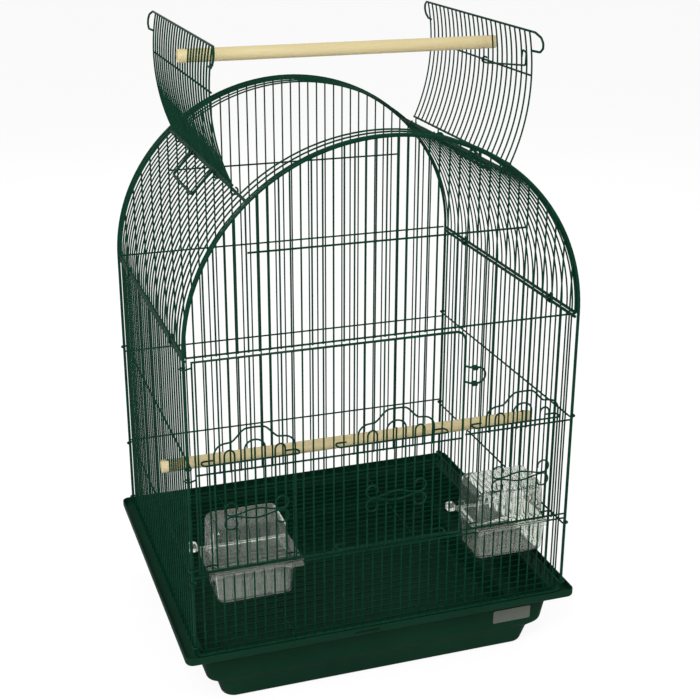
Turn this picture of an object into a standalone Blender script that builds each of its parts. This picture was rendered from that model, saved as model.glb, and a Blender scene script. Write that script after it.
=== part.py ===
"""Open-top bird cage: a wire cage that stands in a plastic tub, with a vaulted
roof that opens in two flaps, a hinged front door, three sliding feeder doors,
two wooden perches and two clear feeders.

The front faces -Y, +X is to the right, and the origin is at the middle of the
tub's underside. Sizes are in metres.
"""

import math

import bmesh
import bpy
from mathutils import Matrix, Vector

# Overall sizes of the wire cage, measured between the centres of its frame wires
CAGE_WIDTH = 0.460
CAGE_DEPTH = 0.396
SHOULDER_Z = 0.442
VAULT_RISE = 0.221
RIM_Z = 0.077

# Wire sizes. Thin wires are modelled three-sided, so their corner radius is larger
# than that of the round wire they stand for.
BAR_RADIUS = 0.0014
FRAME_RADIUS = 0.0019
GAP = 0.0003
BARS_ACROSS = 39
BARS_DEEP = 31

# Heights of the cross rods on the walls
LOW_ROD_Z = 0.179
SILL_Z = 0.185
MID_ROD_Z = 0.309
SIDE_ROD_HEIGHTS = {"low": 0.092, "middle": 0.174, "high": 0.315}
SIDE_TOP_Z = 0.437
STIFFENER_Z = 0.550
STIFFENER_LENGTH = 0.315

# Tub: how far its outside stands in from the frame wires' centres, across and deep
TUB_FLOOR_INSET = (0.035, 0.0205)
TUB_STEP_INSET = (0.030, 0.0155)
TUB_WAIST_INSET = (0.016, 0.011)
TUB_SHOULDER_INSET = (0.0085, 0.009)
TUB_LIP_INSET = (-0.014, -0.0135)
TUB_STEP_Z = 0.027
TUB_WALL = 0.0022
TUB_CORNER = 0.022
LIP_HEIGHT = 0.008
LIP_WALL = 0.0018
FOOT_RADIUS = 0.009
FOOT_HEIGHT = 0.0012
SLOT_SIZE = (0.030, 0.0036)
SLOT_CENTRE_X = -0.028

# Grate
GRATE_WIRES = 31
GRATE_SEAT = 0.0008
GRATE_RODS = (-0.11, 0.11)

# Roof
HINGE_X = 0.156
FULL_HOOPS_EACH_END = 3
FLAP_OPEN = math.radians(75)
FLAP_TIP_X = 0.0139
FLAP_BASE_LIFT = 0.0085
FLAP_ROD_DROP = 0.047
FLAP_EAR_REACH = 0.0165
FLAP_EAR_DROP = 0.018
FLAP_EDGE_LIFT = 0.0010
FLAP_EAR_LIFT = 0.0030
FLAP_LEG_BAYS = (4, 10, 20, 26)

# Main door. Its free edge is placed by the bars, counted from the middle.
DOOR_RIGHT_POSITION = 7.673
DOOR_TOP_Z = 0.435
DOOR_ROD_Z = 0.305
DOOR_CORNER = 0.012
DOOR_WIRE = 0.0015
DOOR_HINGE_ROOM = 0.0085
LATCH_Z = 0.381
LATCH_HEIGHT = 0.030
LATCH_REACH = 0.025
LATCH_STAND = 0.0085

# Sliding doors
SLIDE_WIRE = 0.0012
SLIDE_BARS = 9
SLIDE_PITCHES_WIDE = 8
SLIDE_NARROWER = 0.0032
SLIDE_HEIGHT = 0.129
SLIDE_GUIDES = {"left": (-17.5, -9.5), "centre": (-4.5, 5.5), "right": (9.5, 17.5)}
SLIDE_SHIFTS = {"left": 0.0, "centre": 0.0016, "right": 0.0038}
LOOP_HALF_WIDTH = 0.0080
LOOP_DEPTH = 0.0090
CROWN_RISE = 0.040
CROWN_SHOULDER = 0.0230
CROWN_SMALL_ARCH = 0.0160
CROWN_MIDDLE_ARCH = 0.0250

# Scroll ornaments on the sliding doors
SCROLL_WIRE = 0.0011
SCROLL_HALF_LENGTH = 0.037
SCROLL_CURL = 0.0085
SCROLL_BOW = 0.005
SCROLL_Z = 0.250

# Perches
PERCH_RADIUS = 0.0075
TOP_PERCH_DROP = 0.026
TOP_PERCH_OVERHANG = 0.0102
TOP_PERCH_BAR = 13
INNER_PERCH_OVERHANG = (0.0076, 0.0116)
INNER_PERCH_Z = 0.261
INNER_PERCH_BAR = 10

# Feeders: left and right edge of the rim, then of the cup, then of the hood, counted in bars
FEEDERS = {
    "left": (-18.82, -8.65, -17.97, -10.0, -16.62, -10.68),
    "right": (10.0, 17.33, 10.6, 16.11, 10.85, 15.85),
}
FEEDER_DEPTH = 0.060
FEEDER_CUP_HEIGHT = 0.035
FEEDER_WALL = 0.0018
FEEDER_HOOD_TOP = 0.229
FEEDER_HOOD_CORNER = 0.014
FEEDER_HOOD_ROOM = 0.0012

# Carry handles
HANDLE_WIRE = 0.0018
HANDLE_LENGTH = 0.035
HANDLE_HALF_BAYS = 4

# Roof clips
CLIP_BAYS = (5, 25)
CLIP_LENGTH = 0.008
CLIP_WALL = 0.0009

# Name plate on the tub
PLATE_SIZE = (0.045, 0.0165, 0.0006)
PLATE_CENTRE_X = 0.158
PLATE_Z = 0.050

# Values worked out from the sizes above
HALF_W = CAGE_WIDTH / 2
HALF_D = CAGE_DEPTH / 2
PITCH_X = CAGE_WIDTH / BARS_ACROSS
PITCH_Y = CAGE_DEPTH / BARS_DEEP
FRONT_Y = -HALF_D
TUB_FLOOR_HALF = (HALF_W - TUB_FLOOR_INSET[0], HALF_D - TUB_FLOOR_INSET[1])
TUB_STEP_HALF = (HALF_W - TUB_STEP_INSET[0], HALF_D - TUB_STEP_INSET[1])
TUB_WAIST_HALF = (HALF_W - TUB_WAIST_INSET[0], HALF_D - TUB_WAIST_INSET[1])
TUB_SHOULDER_HALF = (HALF_W - TUB_SHOULDER_INSET[0], HALF_D - TUB_SHOULDER_INSET[1])
TUB_LIP_HALF = (HALF_W - TUB_LIP_INSET[0], HALF_D - TUB_LIP_INSET[1])
GRATE_PITCH = 2 * (TUB_SHOULDER_HALF[1] - TUB_WALL + GRATE_SEAT) / (GRATE_WIRES - 1)
ROD_STEP = BAR_RADIUS + GAP
BOTTOM_Z = RIM_Z + GAP
FRAME_BOTTOM_Z = BOTTOM_Z + FRAME_RADIUS * math.cos(math.pi / 6)
EYE_RADIUS = (FRAME_RADIUS + BAR_RADIUS * 0.87 + GAP) / math.cos(math.radians(29))
HOOK_RADIUS = (FRAME_RADIUS + BAR_RADIUS * 0.5 + GAP) / math.cos(math.radians(29))
ROD_X = HALF_W - HOOK_RADIUS
SIDE_X = ROD_X + ROD_STEP
ROOF_END_Y = HALF_D - 2 * FRAME_RADIUS - GAP
ROOF_RISE = VAULT_RISE - (HALF_W - SIDE_X)
HINGE_ANGLE = math.acos(HINGE_X / SIDE_X)
HINGE_Z = SHOULDER_Z + ROOF_RISE * math.sin(HINGE_ANGLE)
TIP_ANGLE = math.acos(FLAP_TIP_X / SIDE_X)
DOOR_LEFT_X = -HALF_W + DOOR_HINGE_ROOM
DOOR_RIGHT_X = DOOR_RIGHT_POSITION * PITCH_X
SLIDE_WIDTH = SLIDE_PITCHES_WIDE * PITCH_X - SLIDE_NARROWER
SLIDE_ROD_Y = FRONT_Y - BAR_RADIUS - GAP - SLIDE_WIRE
SLIDE_BAR_Y = SLIDE_ROD_Y - 1.7 * SLIDE_WIRE
SLIDE_BOTTOM_Z = SILL_Z + DOOR_WIRE + GAP + SLIDE_WIRE
FLANGE_TOP_Z = SILL_Z - DOOR_WIRE - 3 * GAP
FLANGE_BOTTOM_Z = LOW_ROD_Z + BAR_RADIUS + GAP
X_AXIS = Vector((1, 0, 0))
Y_AXIS = Vector((0, 1, 0))
Z_AXIS = Vector((0, 0, 1))


def clear_scene():
    for old in list(bpy.data.objects):
        bpy.data.objects.remove(old, do_unlink=True)


def make_material(name, colour, roughness, metallic=0.0, alpha=1.0):
    material = bpy.data.materials.new(name)
    material.use_nodes = True
    shader = material.node_tree.nodes["Principled BSDF"]
    shader.inputs["Base Color"].default_value = (*colour, 1.0)
    shader.inputs["Roughness"].default_value = roughness
    shader.inputs["Metallic"].default_value = metallic
    shader.inputs["Alpha"].default_value = alpha
    return material


def make_object(name, mesh_data, material, origin=(0, 0, 0), smooth=False):
    """Turns a bmesh in world places into an object whose origin is at `origin`."""
    origin = Vector(origin)
    bmesh.ops.translate(mesh_data, verts=mesh_data.verts, vec=-origin)
    bmesh.ops.recalc_face_normals(mesh_data, faces=mesh_data.faces)
    mesh = bpy.data.meshes.new(name)
    mesh_data.to_mesh(mesh)
    mesh_data.free()
    if smooth:
        mesh.shade_smooth()
        mesh.set_sharp_from_angle(angle=math.radians(40))
    mesh.materials.append(material)
    thing = bpy.data.objects.new(name, mesh)
    thing.location = origin
    bpy.context.scene.collection.objects.link(thing)
    return thing


def combine(target, tool, operation="UNION"):
    """Fuses or cuts `target` with `tool`, which stays as a hidden guide in the same place."""
    tool.location = target.location
    tool.rotation_euler = target.rotation_euler
    tool.hide_render = True
    tool.display_type = "WIRE"
    modifier = target.modifiers.new(operation.title(), "BOOLEAN")
    modifier.operation = operation
    modifier.solver = "EXACT"
    modifier.object = tool
    return target


def section_ring(mesh_data, place, before, after, radius, across, sides, turn):
    """One cross-section of a wire, mitred between the directions before and after it."""
    along = (before + after).normalized()
    first = (across - along * across.dot(along)).normalized()
    second = along.cross(first)
    bend = after - before
    spread = 1.0
    if bend.length > 1e-6:
        bend.normalize()
        spread = 1.0 / max(0.3, along.dot(after))
    ring = []
    for corner in range(sides):
        angle = turn + 2 * math.pi * corner / sides
        offset = first * math.cos(angle) + second * math.sin(angle)
        if spread > 1.0:
            offset = offset + bend * (spread - 1.0) * offset.dot(bend)
        ring.append(mesh_data.verts.new(place + offset * radius))
    return ring


def add_wire(mesh_data, points, radius, across, sides=3, closed=False, turn=0.0):
    """Adds a wire along a line of points. Its first edge faces the direction `across`."""
    points = [Vector(point) for point in points]
    across = Vector(across)
    count = len(points)
    rings = []
    for index, point in enumerate(points):
        previous = points[index - 1] if index > 0 or closed else None
        following = points[(index + 1) % count] if index < count - 1 or closed else None
        after = (following - point).normalized() if following else None
        before = (point - previous).normalized() if previous else after
        after = after if following else before
        rings.append(section_ring(mesh_data, point, before, after, radius, across, sides, turn))
    pairs = list(zip(rings, rings[1:]))
    if closed:
        pairs.append((rings[-1], rings[0]))
    for ring, following in pairs:
        for corner in range(sides):
            beside = (corner + 1) % sides
            mesh_data.faces.new((ring[corner], ring[beside], following[beside], following[corner]))
    if not closed:
        mesh_data.faces.new(rings[0])
        mesh_data.faces.new(rings[-1])


def arc(centre, radius, start, end, steps, first=X_AXIS, second=Z_AXIS):
    """Points on an arc from angle start to angle end, in the plane of two directions."""
    points = []
    for step in range(steps + 1):
        angle = start + (end - start) * step / steps
        points.append(centre + first * radius * math.cos(angle) + second * radius * math.sin(angle))
    return points


def loft(mesh_data, rings):
    """Joins closed rings of equal length into one solid, capped at both ends."""
    made = [[mesh_data.verts.new(point) for point in ring] for ring in rings]
    for ring, following in zip(made, made[1:]):
        for index in range(len(ring)):
            beside = (index + 1) % len(ring)
            mesh_data.faces.new((ring[index], ring[beside], following[beside], following[index]))
    mesh_data.faces.new(made[0])
    mesh_data.faces.new(made[-1])


def rounded_rectangle(centre, half_x, half_y, corner, z, steps):
    """A flat ring: a rectangle with round corners, counter-clockwise from above."""
    corner = min(corner, half_x * 0.95, half_y * 0.95)
    points = []
    for quarter, (side_x, side_y) in enumerate(((1, 1), (-1, 1), (-1, -1), (1, -1))):
        hub = Vector((centre[0] + side_x * (half_x - corner), centre[1] + side_y * (half_y - corner), z))
        start = quarter * math.pi / 2
        points.extend(arc(hub, corner, start, start + math.pi / 2, steps, X_AXIS, Y_AXIS))
    return points


def add_box(mesh_data, low, high):
    low = Vector(low)
    high = Vector(high)
    size = Matrix.Diagonal((*(high - low), 1.0))
    bmesh.ops.create_cube(mesh_data, size=1.0, matrix=Matrix.Translation((low + high) / 2) @ size)


def bar_x(position):
    """X of a bar on the front or the back. Bars lie at half positions from the middle."""
    return position * PITCH_X


def slide_centre(side_name):
    """X of a sliding door's middle, from its two guide bars."""
    low, high = SLIDE_GUIDES[side_name]
    return bar_x((low + high) / 2) + SLIDE_SHIFTS[side_name]


def bar_y(index):
    """Y of a side bar or roof hoop, counted from the front frame."""
    return (index - BARS_DEEP / 2) * PITCH_Y


def bay_y(index):
    """Y of the middle of the space behind a side bar or roof hoop."""
    return bar_y(index + 0.5)


def front_positions():
    return [index + 0.5 for index in range(-(BARS_ACROSS // 2), BARS_ACROSS // 2)]


def frame_arch(y):
    """Points along the arch of an end frame, from its right shoulder to its left."""
    steps = 20
    points = []
    for step in range(steps + 1):
        angle = math.pi * step / steps
        points.append(Vector((HALF_W * math.cos(angle), y, SHOULDER_Z + VAULT_RISE * math.sin(angle))))
    return points


def height_on(points, x):
    """Height of a line of points at x."""
    for start, end in zip(points, points[1:]):
        if min(start.x, end.x) <= x <= max(start.x, end.x):
            share = (x - start.x) / (end.x - start.x)
            return start.z + (end.z - start.z) * share
    return points[0].z


def vault_point(angle, lift=0.0):
    """A point on the roof's right half, as x and z, raised by `lift` square to the vault."""
    x = SIDE_X * math.cos(angle)
    z = SHOULDER_Z + ROOF_RISE * math.sin(angle)
    square = Vector((math.cos(angle) / SIDE_X, math.sin(angle) / ROOF_RISE)).normalized()
    return x + square.x * lift, z + square.y * lift


def hoop(y, start, end, steps, side=1, lift=0.0):
    points = []
    for step in range(steps + 1):
        x, z = vault_point(start + (end - start) * step / steps, lift)
        points.append(Vector((side * x, y, z)))
    return points


# Tub of dark green plastic, moulded in one piece with a channel round its rim


def build_tub(plastic):
    shoulder_z = RIM_Z - TUB_WALL
    lip_z = RIM_Z + LIP_HEIGHT
    waist_z = TUB_STEP_Z + 0.007
    steps = 3
    outside = (
        (TUB_FLOOR_HALF, -0.006, FOOT_HEIGHT),
        (TUB_FLOOR_HALF, 0.0, FOOT_HEIGHT + 0.004),
        (TUB_STEP_HALF, 0.0, TUB_STEP_Z),
        (TUB_WAIST_HALF, 0.0, waist_z),
        (TUB_SHOULDER_HALF, 0.0, shoulder_z - 0.004),
        (TUB_LIP_HALF, -LIP_WALL, shoulder_z),
        (TUB_LIP_HALF, 0.0, shoulder_z + 0.002),
        (TUB_LIP_HALF, 0.0, lip_z),
        (TUB_LIP_HALF, -LIP_WALL, lip_z),
        (TUB_LIP_HALF, -LIP_WALL, RIM_Z),
        (TUB_SHOULDER_HALF, -TUB_WALL, RIM_Z),
        (TUB_WAIST_HALF, -TUB_WALL, waist_z + TUB_WALL),
        (TUB_STEP_HALF, -TUB_WALL, TUB_STEP_Z + TUB_WALL),
        (TUB_FLOOR_HALF, -TUB_WALL, FOOT_HEIGHT + TUB_WALL),
    )
    rings = []
    for half, grow, z in outside:
        rings.append(rounded_rectangle((0, 0), half[0] + grow, half[1] + grow, TUB_CORNER + grow, z, steps))
    body = bmesh.new()
    loft(body, rings)
    tub = make_object("base_tub", body, plastic)
    feet = bmesh.new()
    for side_x in (-1, 1):
        for side_y in (-1, 1):
            place = (side_x * TUB_FLOOR_HALF[0] * 0.82, side_y * TUB_FLOOR_HALF[1] * 0.82)
            foot = [
                rounded_rectangle(place, radius, radius, radius, z, 2)
                for radius, z in ((FOOT_RADIUS, 0.0), (FOOT_RADIUS + 0.001, FOOT_HEIGHT + 0.0008))
            ]
            loft(feet, foot)
    combine(tub, make_object("tub_feet_shape", feet, plastic))
    slot = bmesh.new()
    slot_low = RIM_Z + 0.0014
    add_box(
        slot,
        (SLOT_CENTRE_X - SLOT_SIZE[0] / 2, -TUB_LIP_HALF[1] - 0.005, slot_low),
        (SLOT_CENTRE_X + SLOT_SIZE[0] / 2, -TUB_LIP_HALF[1] + LIP_WALL + 0.002, slot_low + SLOT_SIZE[1]),
    )
    combine(tub, make_object("tub_slot_shape", slot, plastic), "DIFFERENCE")
    return tub


def build_name_plate(plastic):
    """A thin bare plate on the right of the tub's upper wall, lying on its slope."""
    waist_z = TUB_STEP_Z + 0.007
    top_z = RIM_Z - TUB_WALL - 0.004
    slope = (TUB_SHOULDER_HALF[1] - TUB_WAIST_HALF[1]) / (top_z - waist_z)
    length, height, thick = PLATE_SIZE
    corners = []
    for z in (PLATE_Z - height / 2, PLATE_Z + height / 2):
        wall_y = -(TUB_WAIST_HALF[1] + slope * (z - waist_z)) - GAP
        corners.append(((wall_y, z), (wall_y - thick, z)))
    plate = bmesh.new()
    rings = []
    for x in (PLATE_CENTRE_X - length / 2, PLATE_CENTRE_X + length / 2):
        outline = (corners[0][0], corners[0][1], corners[1][1], corners[1][0])
        rings.append([Vector((x, y, z)) for y, z in outline])
    loft(plate, rings)
    return make_object("name_plate", plate, plastic)


# Floor grate: wires along the width, fused to two edge wires, with two rods under them


def build_grate(wire):
    z = RIM_Z + GAP + BAR_RADIUS * 1.1 * math.cos(math.pi / 6)
    edge_x = TUB_SHOULDER_HALF[0] - TUB_WALL + 0.0016
    half_count = (GRATE_WIRES - 1) / 2
    bars = bmesh.new()
    for index in range(GRATE_WIRES):
        y = (index - half_count) * GRATE_PITCH
        add_wire(bars, ((-edge_x, y, z), (edge_x, y, z)), BAR_RADIUS, Z_AXIS)
    grate = make_object("floor_grate", bars, wire)
    edges = bmesh.new()
    reach = half_count * GRATE_PITCH + BAR_RADIUS * 0.86
    for side in (-1, 1):
        x = side * edge_x
        add_wire(edges, ((x, -reach, z), (x, reach, z)), BAR_RADIUS * 1.1, Z_AXIS, 6, turn=math.pi / 6)
    combine(grate, make_object("grate_edge_shape", edges, wire))
    rod_z = z - BAR_RADIUS / 2 - GAP - BAR_RADIUS / 2
    rod_reach = TUB_SHOULDER_HALF[1] - TUB_WALL - GAP - 0.001
    for number, x in enumerate(GRATE_RODS, 1):
        rod = bmesh.new()
        add_wire(rod, ((x, -rod_reach, rod_z), (x, rod_reach, rod_z)), BAR_RADIUS, -Z_AXIS)
        make_object(f"grate_rod_{number}", rod, wire)


# Front and back frames: a bent frame wire with the upright bars fused into it


def build_end_frame(name, y, spans, wire, bar_wire):
    """`spans` gives each bar's stretches as (low, high); None means as far as the frame."""
    arch = frame_arch(y)
    bars = bmesh.new()
    outward = Vector((0, math.copysign(1, y), 0))
    for position in front_positions():
        x = bar_x(position)
        top = height_on(arch, x)
        for low, high in spans(position):
            low = FRAME_BOTTOM_Z if low is None else low
            high = top if high is None else high
            add_wire(bars, ((x, y, low), (x, y, high)), BAR_RADIUS, outward)
    panel = make_object(name, bars, bar_wire)
    outline = bmesh.new()
    path = [Vector((-HALF_W, y, FRAME_BOTTOM_Z)), Vector((HALF_W, y, FRAME_BOTTOM_Z))]
    add_wire(outline, path + arch, FRAME_RADIUS, Y_AXIS, 6, closed=True)
    combine(panel, make_object(name + "_outline_shape", outline, wire))
    return panel


def front_spans(position):
    """The front's bars leave room for the main door and for the right feeder door."""
    below_rod = LOW_ROD_Z + BAR_RADIUS * 0.8
    if bar_x(position) < DOOR_RIGHT_X:
        return ((None, below_rod), (SHOULDER_Z - BAR_RADIUS, None))
    low_guide, high_guide = SLIDE_GUIDES["right"]
    if low_guide < position < high_guide:
        return ((None, below_rod), (MID_ROD_Z - BAR_RADIUS, None))
    return ((None, None),)


def back_spans(position):
    return ((None, None),)


def add_cross_rod(name, start_x, end_x, y, z, wire):
    """A rod along the inner side of the front or back bars."""
    inward = Vector((0, -math.copysign(1, y), 0))
    place = y + inward.y * ROD_STEP
    rod = bmesh.new()
    add_wire(rod, ((start_x, place, z), (end_x, place, z)), BAR_RADIUS, inward)
    return make_object(name, rod, wire)


def build_cross_rods(wire):
    reach = HALF_W - FRAME_RADIUS - GAP
    short = SIDE_X - FRAME_RADIUS - 2 * GAP
    add_cross_rod("front_rod_shoulder", -short, short, FRONT_Y, SHOULDER_Z, wire)
    add_cross_rod("front_rod_low", -reach, reach, FRONT_Y, LOW_ROD_Z, wire)
    start = DOOR_RIGHT_X + DOOR_WIRE + 4 * GAP + BAR_RADIUS
    add_cross_rod("front_rod_middle", start, reach, FRONT_Y, MID_ROD_Z, wire)
    add_cross_rod("front_rod_sill", start, reach, FRONT_Y, SILL_Z, wire)
    add_cross_rod("back_rod_shoulder", -short, short, HALF_D, SHOULDER_Z, wire)
    add_cross_rod("back_rod_middle", -reach, reach, HALF_D, MID_ROD_Z, wire)
    add_cross_rod("back_rod_low", -reach, reach, HALF_D, LOW_ROD_Z, wire)
    half = STIFFENER_LENGTH / 2
    add_cross_rod("front_stiffener", -half, half, FRONT_Y, STIFFENER_Z, wire)
    add_cross_rod("back_stiffener", -half, half, HALF_D, STIFFENER_Z, wire)


# Side panels: upright bars fused to a top wire, held to the corner posts by hooked rods


def build_side(side_name, side, wire):
    x = side * SIDE_X
    outward = X_AXIS * side
    bars = bmesh.new()
    for index in range(1, BARS_DEEP):
        y = bar_y(index)
        add_wire(bars, ((x, y, BOTTOM_Z), (x, y, SIDE_TOP_Z)), BAR_RADIUS, outward)
    panel = make_object("side_panel_" + side_name, bars, wire)
    top = bmesh.new()
    reach = ROOF_END_Y - 0.0005
    add_wire(top, ((x, -reach, SIDE_TOP_Z), (x, reach, SIDE_TOP_Z)), FRAME_RADIUS, X_AXIS, 6)
    combine(panel, make_object("side_top_shape_" + side_name, top, wire))
    for level, z in SIDE_ROD_HEIGHTS.items():
        build_side_rod(f"side_rod_{level}_{side_name}", side, z, wire)


def build_side_rod(name, side, z, wire):
    """A rod along the inside of a side panel, hooked round the corner post at each end."""
    first = X_AXIS * -side
    points = []
    for end in (-1, 1):
        post = Vector((side * HALF_W, end * HALF_D, z))
        second = Y_AXIS * end
        hook = arc(post, HOOK_RADIUS, 0, math.radians(232), 4, first, second)
        points.extend(reversed(hook) if end < 0 else hook)
    rod = bmesh.new()
    add_wire(rod, points, BAR_RADIUS, Z_AXIS, 3, turn=-side * math.pi / 2)
    return make_object(name, rod, wire)


# Roof: hoops and cut hoops fused to shoulder rails, hinge rails and end hoops


def build_roof(wire):
    hoops = bmesh.new()
    cut_indexes = range(FULL_HOOPS_EACH_END + 1, BARS_DEEP - FULL_HOOPS_EACH_END)
    for index in range(1, BARS_DEEP):
        y = bar_y(index)
        if index in cut_indexes:
            for side in (-1, 1):
                path = hoop(y, 0, HINGE_ANGLE, 3, side)
                add_wire(hoops, path, BAR_RADIUS, Y_AXIS, turn=-side * math.pi / 2)
        else:
            right = hoop(y, 0, HINGE_ANGLE, 3) + hoop(y, HINGE_ANGLE, math.pi / 2, 3)[1:]
            left = [Vector((-point.x, point.y, point.z)) for point in reversed(right[:-1])]
            add_wire(hoops, right + left, BAR_RADIUS, Y_AXIS, turn=-math.pi / 2)
    roof = make_object("roof_grille", hoops, wire)
    rails = bmesh.new()
    for side in (-1, 1):
        for x, z in ((SIDE_X, SHOULDER_Z), (HINGE_X, HINGE_Z)):
            ends = [Vector((side * x, end * ROOF_END_Y, z)) for end in (-1, 1)]
            add_wire(rails, ends, FRAME_RADIUS, Z_AXIS, 6)
    combine(roof, make_object("roof_rail_shape", rails, wire))
    ends = bmesh.new()
    for end in (-1, 1):
        right = hoop(end * ROOF_END_Y, 0, math.pi / 2, 8)
        left = [Vector((-point.x, point.y, point.z)) for point in reversed(right[:-1])]
        add_wire(ends, right + left, FRAME_RADIUS * 0.97, Y_AXIS, 6)
    combine(roof, make_object("roof_end_shape", ends, wire))
    return roof


def flap_angle_at(distance, start, direction):
    """The vault angle at a distance along the vault from the angle `start`."""
    angle = start
    place = Vector(vault_point(angle))
    step = direction * math.radians(0.25)
    while distance > 0:
        following = Vector(vault_point(angle + step))
        distance -= (following - place).length
        angle += step
        place = following
    return angle


def flap_path(y, side):
    """A flap bar on the closed vault, from the flap's base wire up to its tip."""
    base_angle = flap_angle_at(FLAP_BASE_LIFT, HINGE_ANGLE, 1)
    return hoop(y, base_angle, TIP_ANGLE, 3, side)


def inside_of_path(points, distance, depth, side):
    """A place `distance` along the points and `depth` inside them, and the inward direction."""
    for start, end in zip(points, points[1:]):
        along = end - start
        if distance <= along.length:
            break
        distance -= along.length
    along.normalize()
    inward = Vector((along.z, 0, -along.x))
    if inward.x * side > 0:
        inward = -inward
    return start + along * distance + inward * depth, inward


def build_flap(side_name, side, wire):
    """One roof flap, modelled closed on the vault and then turned open about its hinge rail."""
    base_angle = flap_angle_at(FLAP_BASE_LIFT, HINGE_ANGLE, 1)
    pivot = Vector((side * HINGE_X, 0, HINGE_Z))
    open_turn = side * FLAP_OPEN
    indexes = range(FULL_HOOPS_EACH_END + 1, BARS_DEEP - FULL_HOOPS_EACH_END)
    bars = bmesh.new()
    for index in indexes:
        path = flap_path(bar_y(index), side)
        add_wire(bars, path, BAR_RADIUS, Y_AXIS, turn=-side * math.pi / 2)
    flap = make_object("roof_flap_" + side_name, bars, wire, pivot)
    flap.rotation_euler = (0, open_turn, 0)
    edges = bmesh.new()
    low_y = bar_y(indexes[0])
    high_y = bar_y(indexes[-1])
    x, z = vault_point(base_angle)
    add_wire(
        edges,
        ((side * x, low_y - 0.001, z), (side * x, high_y + 0.001, z)),
        BAR_RADIUS * 1.25,
        Z_AXIS,
        4,
    )
    ear_angle = flap_angle_at(FLAP_EAR_DROP, TIP_ANGLE, -1)
    middle_angle = (ear_angle + TIP_ANGLE) / 2
    outline = []
    for end, edge_y in ((-1, low_y), (1, high_y)):
        ear = [
            (ear_angle, 0.0, FLAP_EDGE_LIFT),
            (ear_angle, 0.55, FLAP_EAR_LIFT),
            (middle_angle, 1.0, FLAP_EAR_LIFT),
            (TIP_ANGLE - (TIP_ANGLE - middle_angle) * 0.25, 0.75, FLAP_EAR_LIFT),
            (TIP_ANGLE, 0.25, FLAP_EDGE_LIFT),
        ]
        points = []
        for angle, reach, lift in ear:
            x, z = vault_point(angle, lift)
            points.append(Vector((side * x, edge_y + end * FLAP_EAR_REACH * reach, z)))
        outline.extend(points if end < 0 else reversed(points))
    add_wire(edges, outline, BAR_RADIUS * 1.25, outward_at(TIP_ANGLE, side), 4, turn=0.0)
    combine(flap, make_object("flap_edge_shape_" + side_name, edges, wire, pivot))
    legs = bmesh.new()
    for index in FLAP_LEG_BAYS:
        add_flap_leg(legs, bay_y(index), side, base_angle)
    combine(flap, make_object("flap_leg_shape_" + side_name, legs, wire, pivot))
    rod = bmesh.new()
    place, inward = inside_of_path(flap_path(0, side)[::-1], FLAP_ROD_DROP, ROD_STEP, side)
    ends = [Vector((place.x, y, place.z)) for y in (low_y - 0.001, high_y + 0.001)]
    add_wire(rod, ends, BAR_RADIUS, inward)
    flap_rod = make_object("flap_rod_" + side_name, rod, wire, pivot)
    flap_rod.rotation_euler = flap.rotation_euler
    return flap


def outward_at(angle, side):
    x, z = vault_point(angle, 1.0)
    base_x, base_z = vault_point(angle)
    return Vector((side * (x - base_x), 0, z - base_z))


def add_flap_leg(mesh_data, y, side, base_angle):
    """A leg from the flap's base wire down to the hinge rail, ending in an eye round it."""
    rail = Vector((side * HINGE_X, y, HINGE_Z))
    x, z = vault_point(base_angle)
    base = Vector((side * x, y, z))
    toward = (base - rail).normalized()
    square = Vector((toward.z, 0, -toward.x)) * side
    eye = arc(rail, EYE_RADIUS, math.radians(35), math.radians(315), 5, toward, square)
    add_wire(mesh_data, [base] + eye, BAR_RADIUS, Y_AXIS)


# Main door: hinged on the front left corner post, with its latch loop at the free edge


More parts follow.
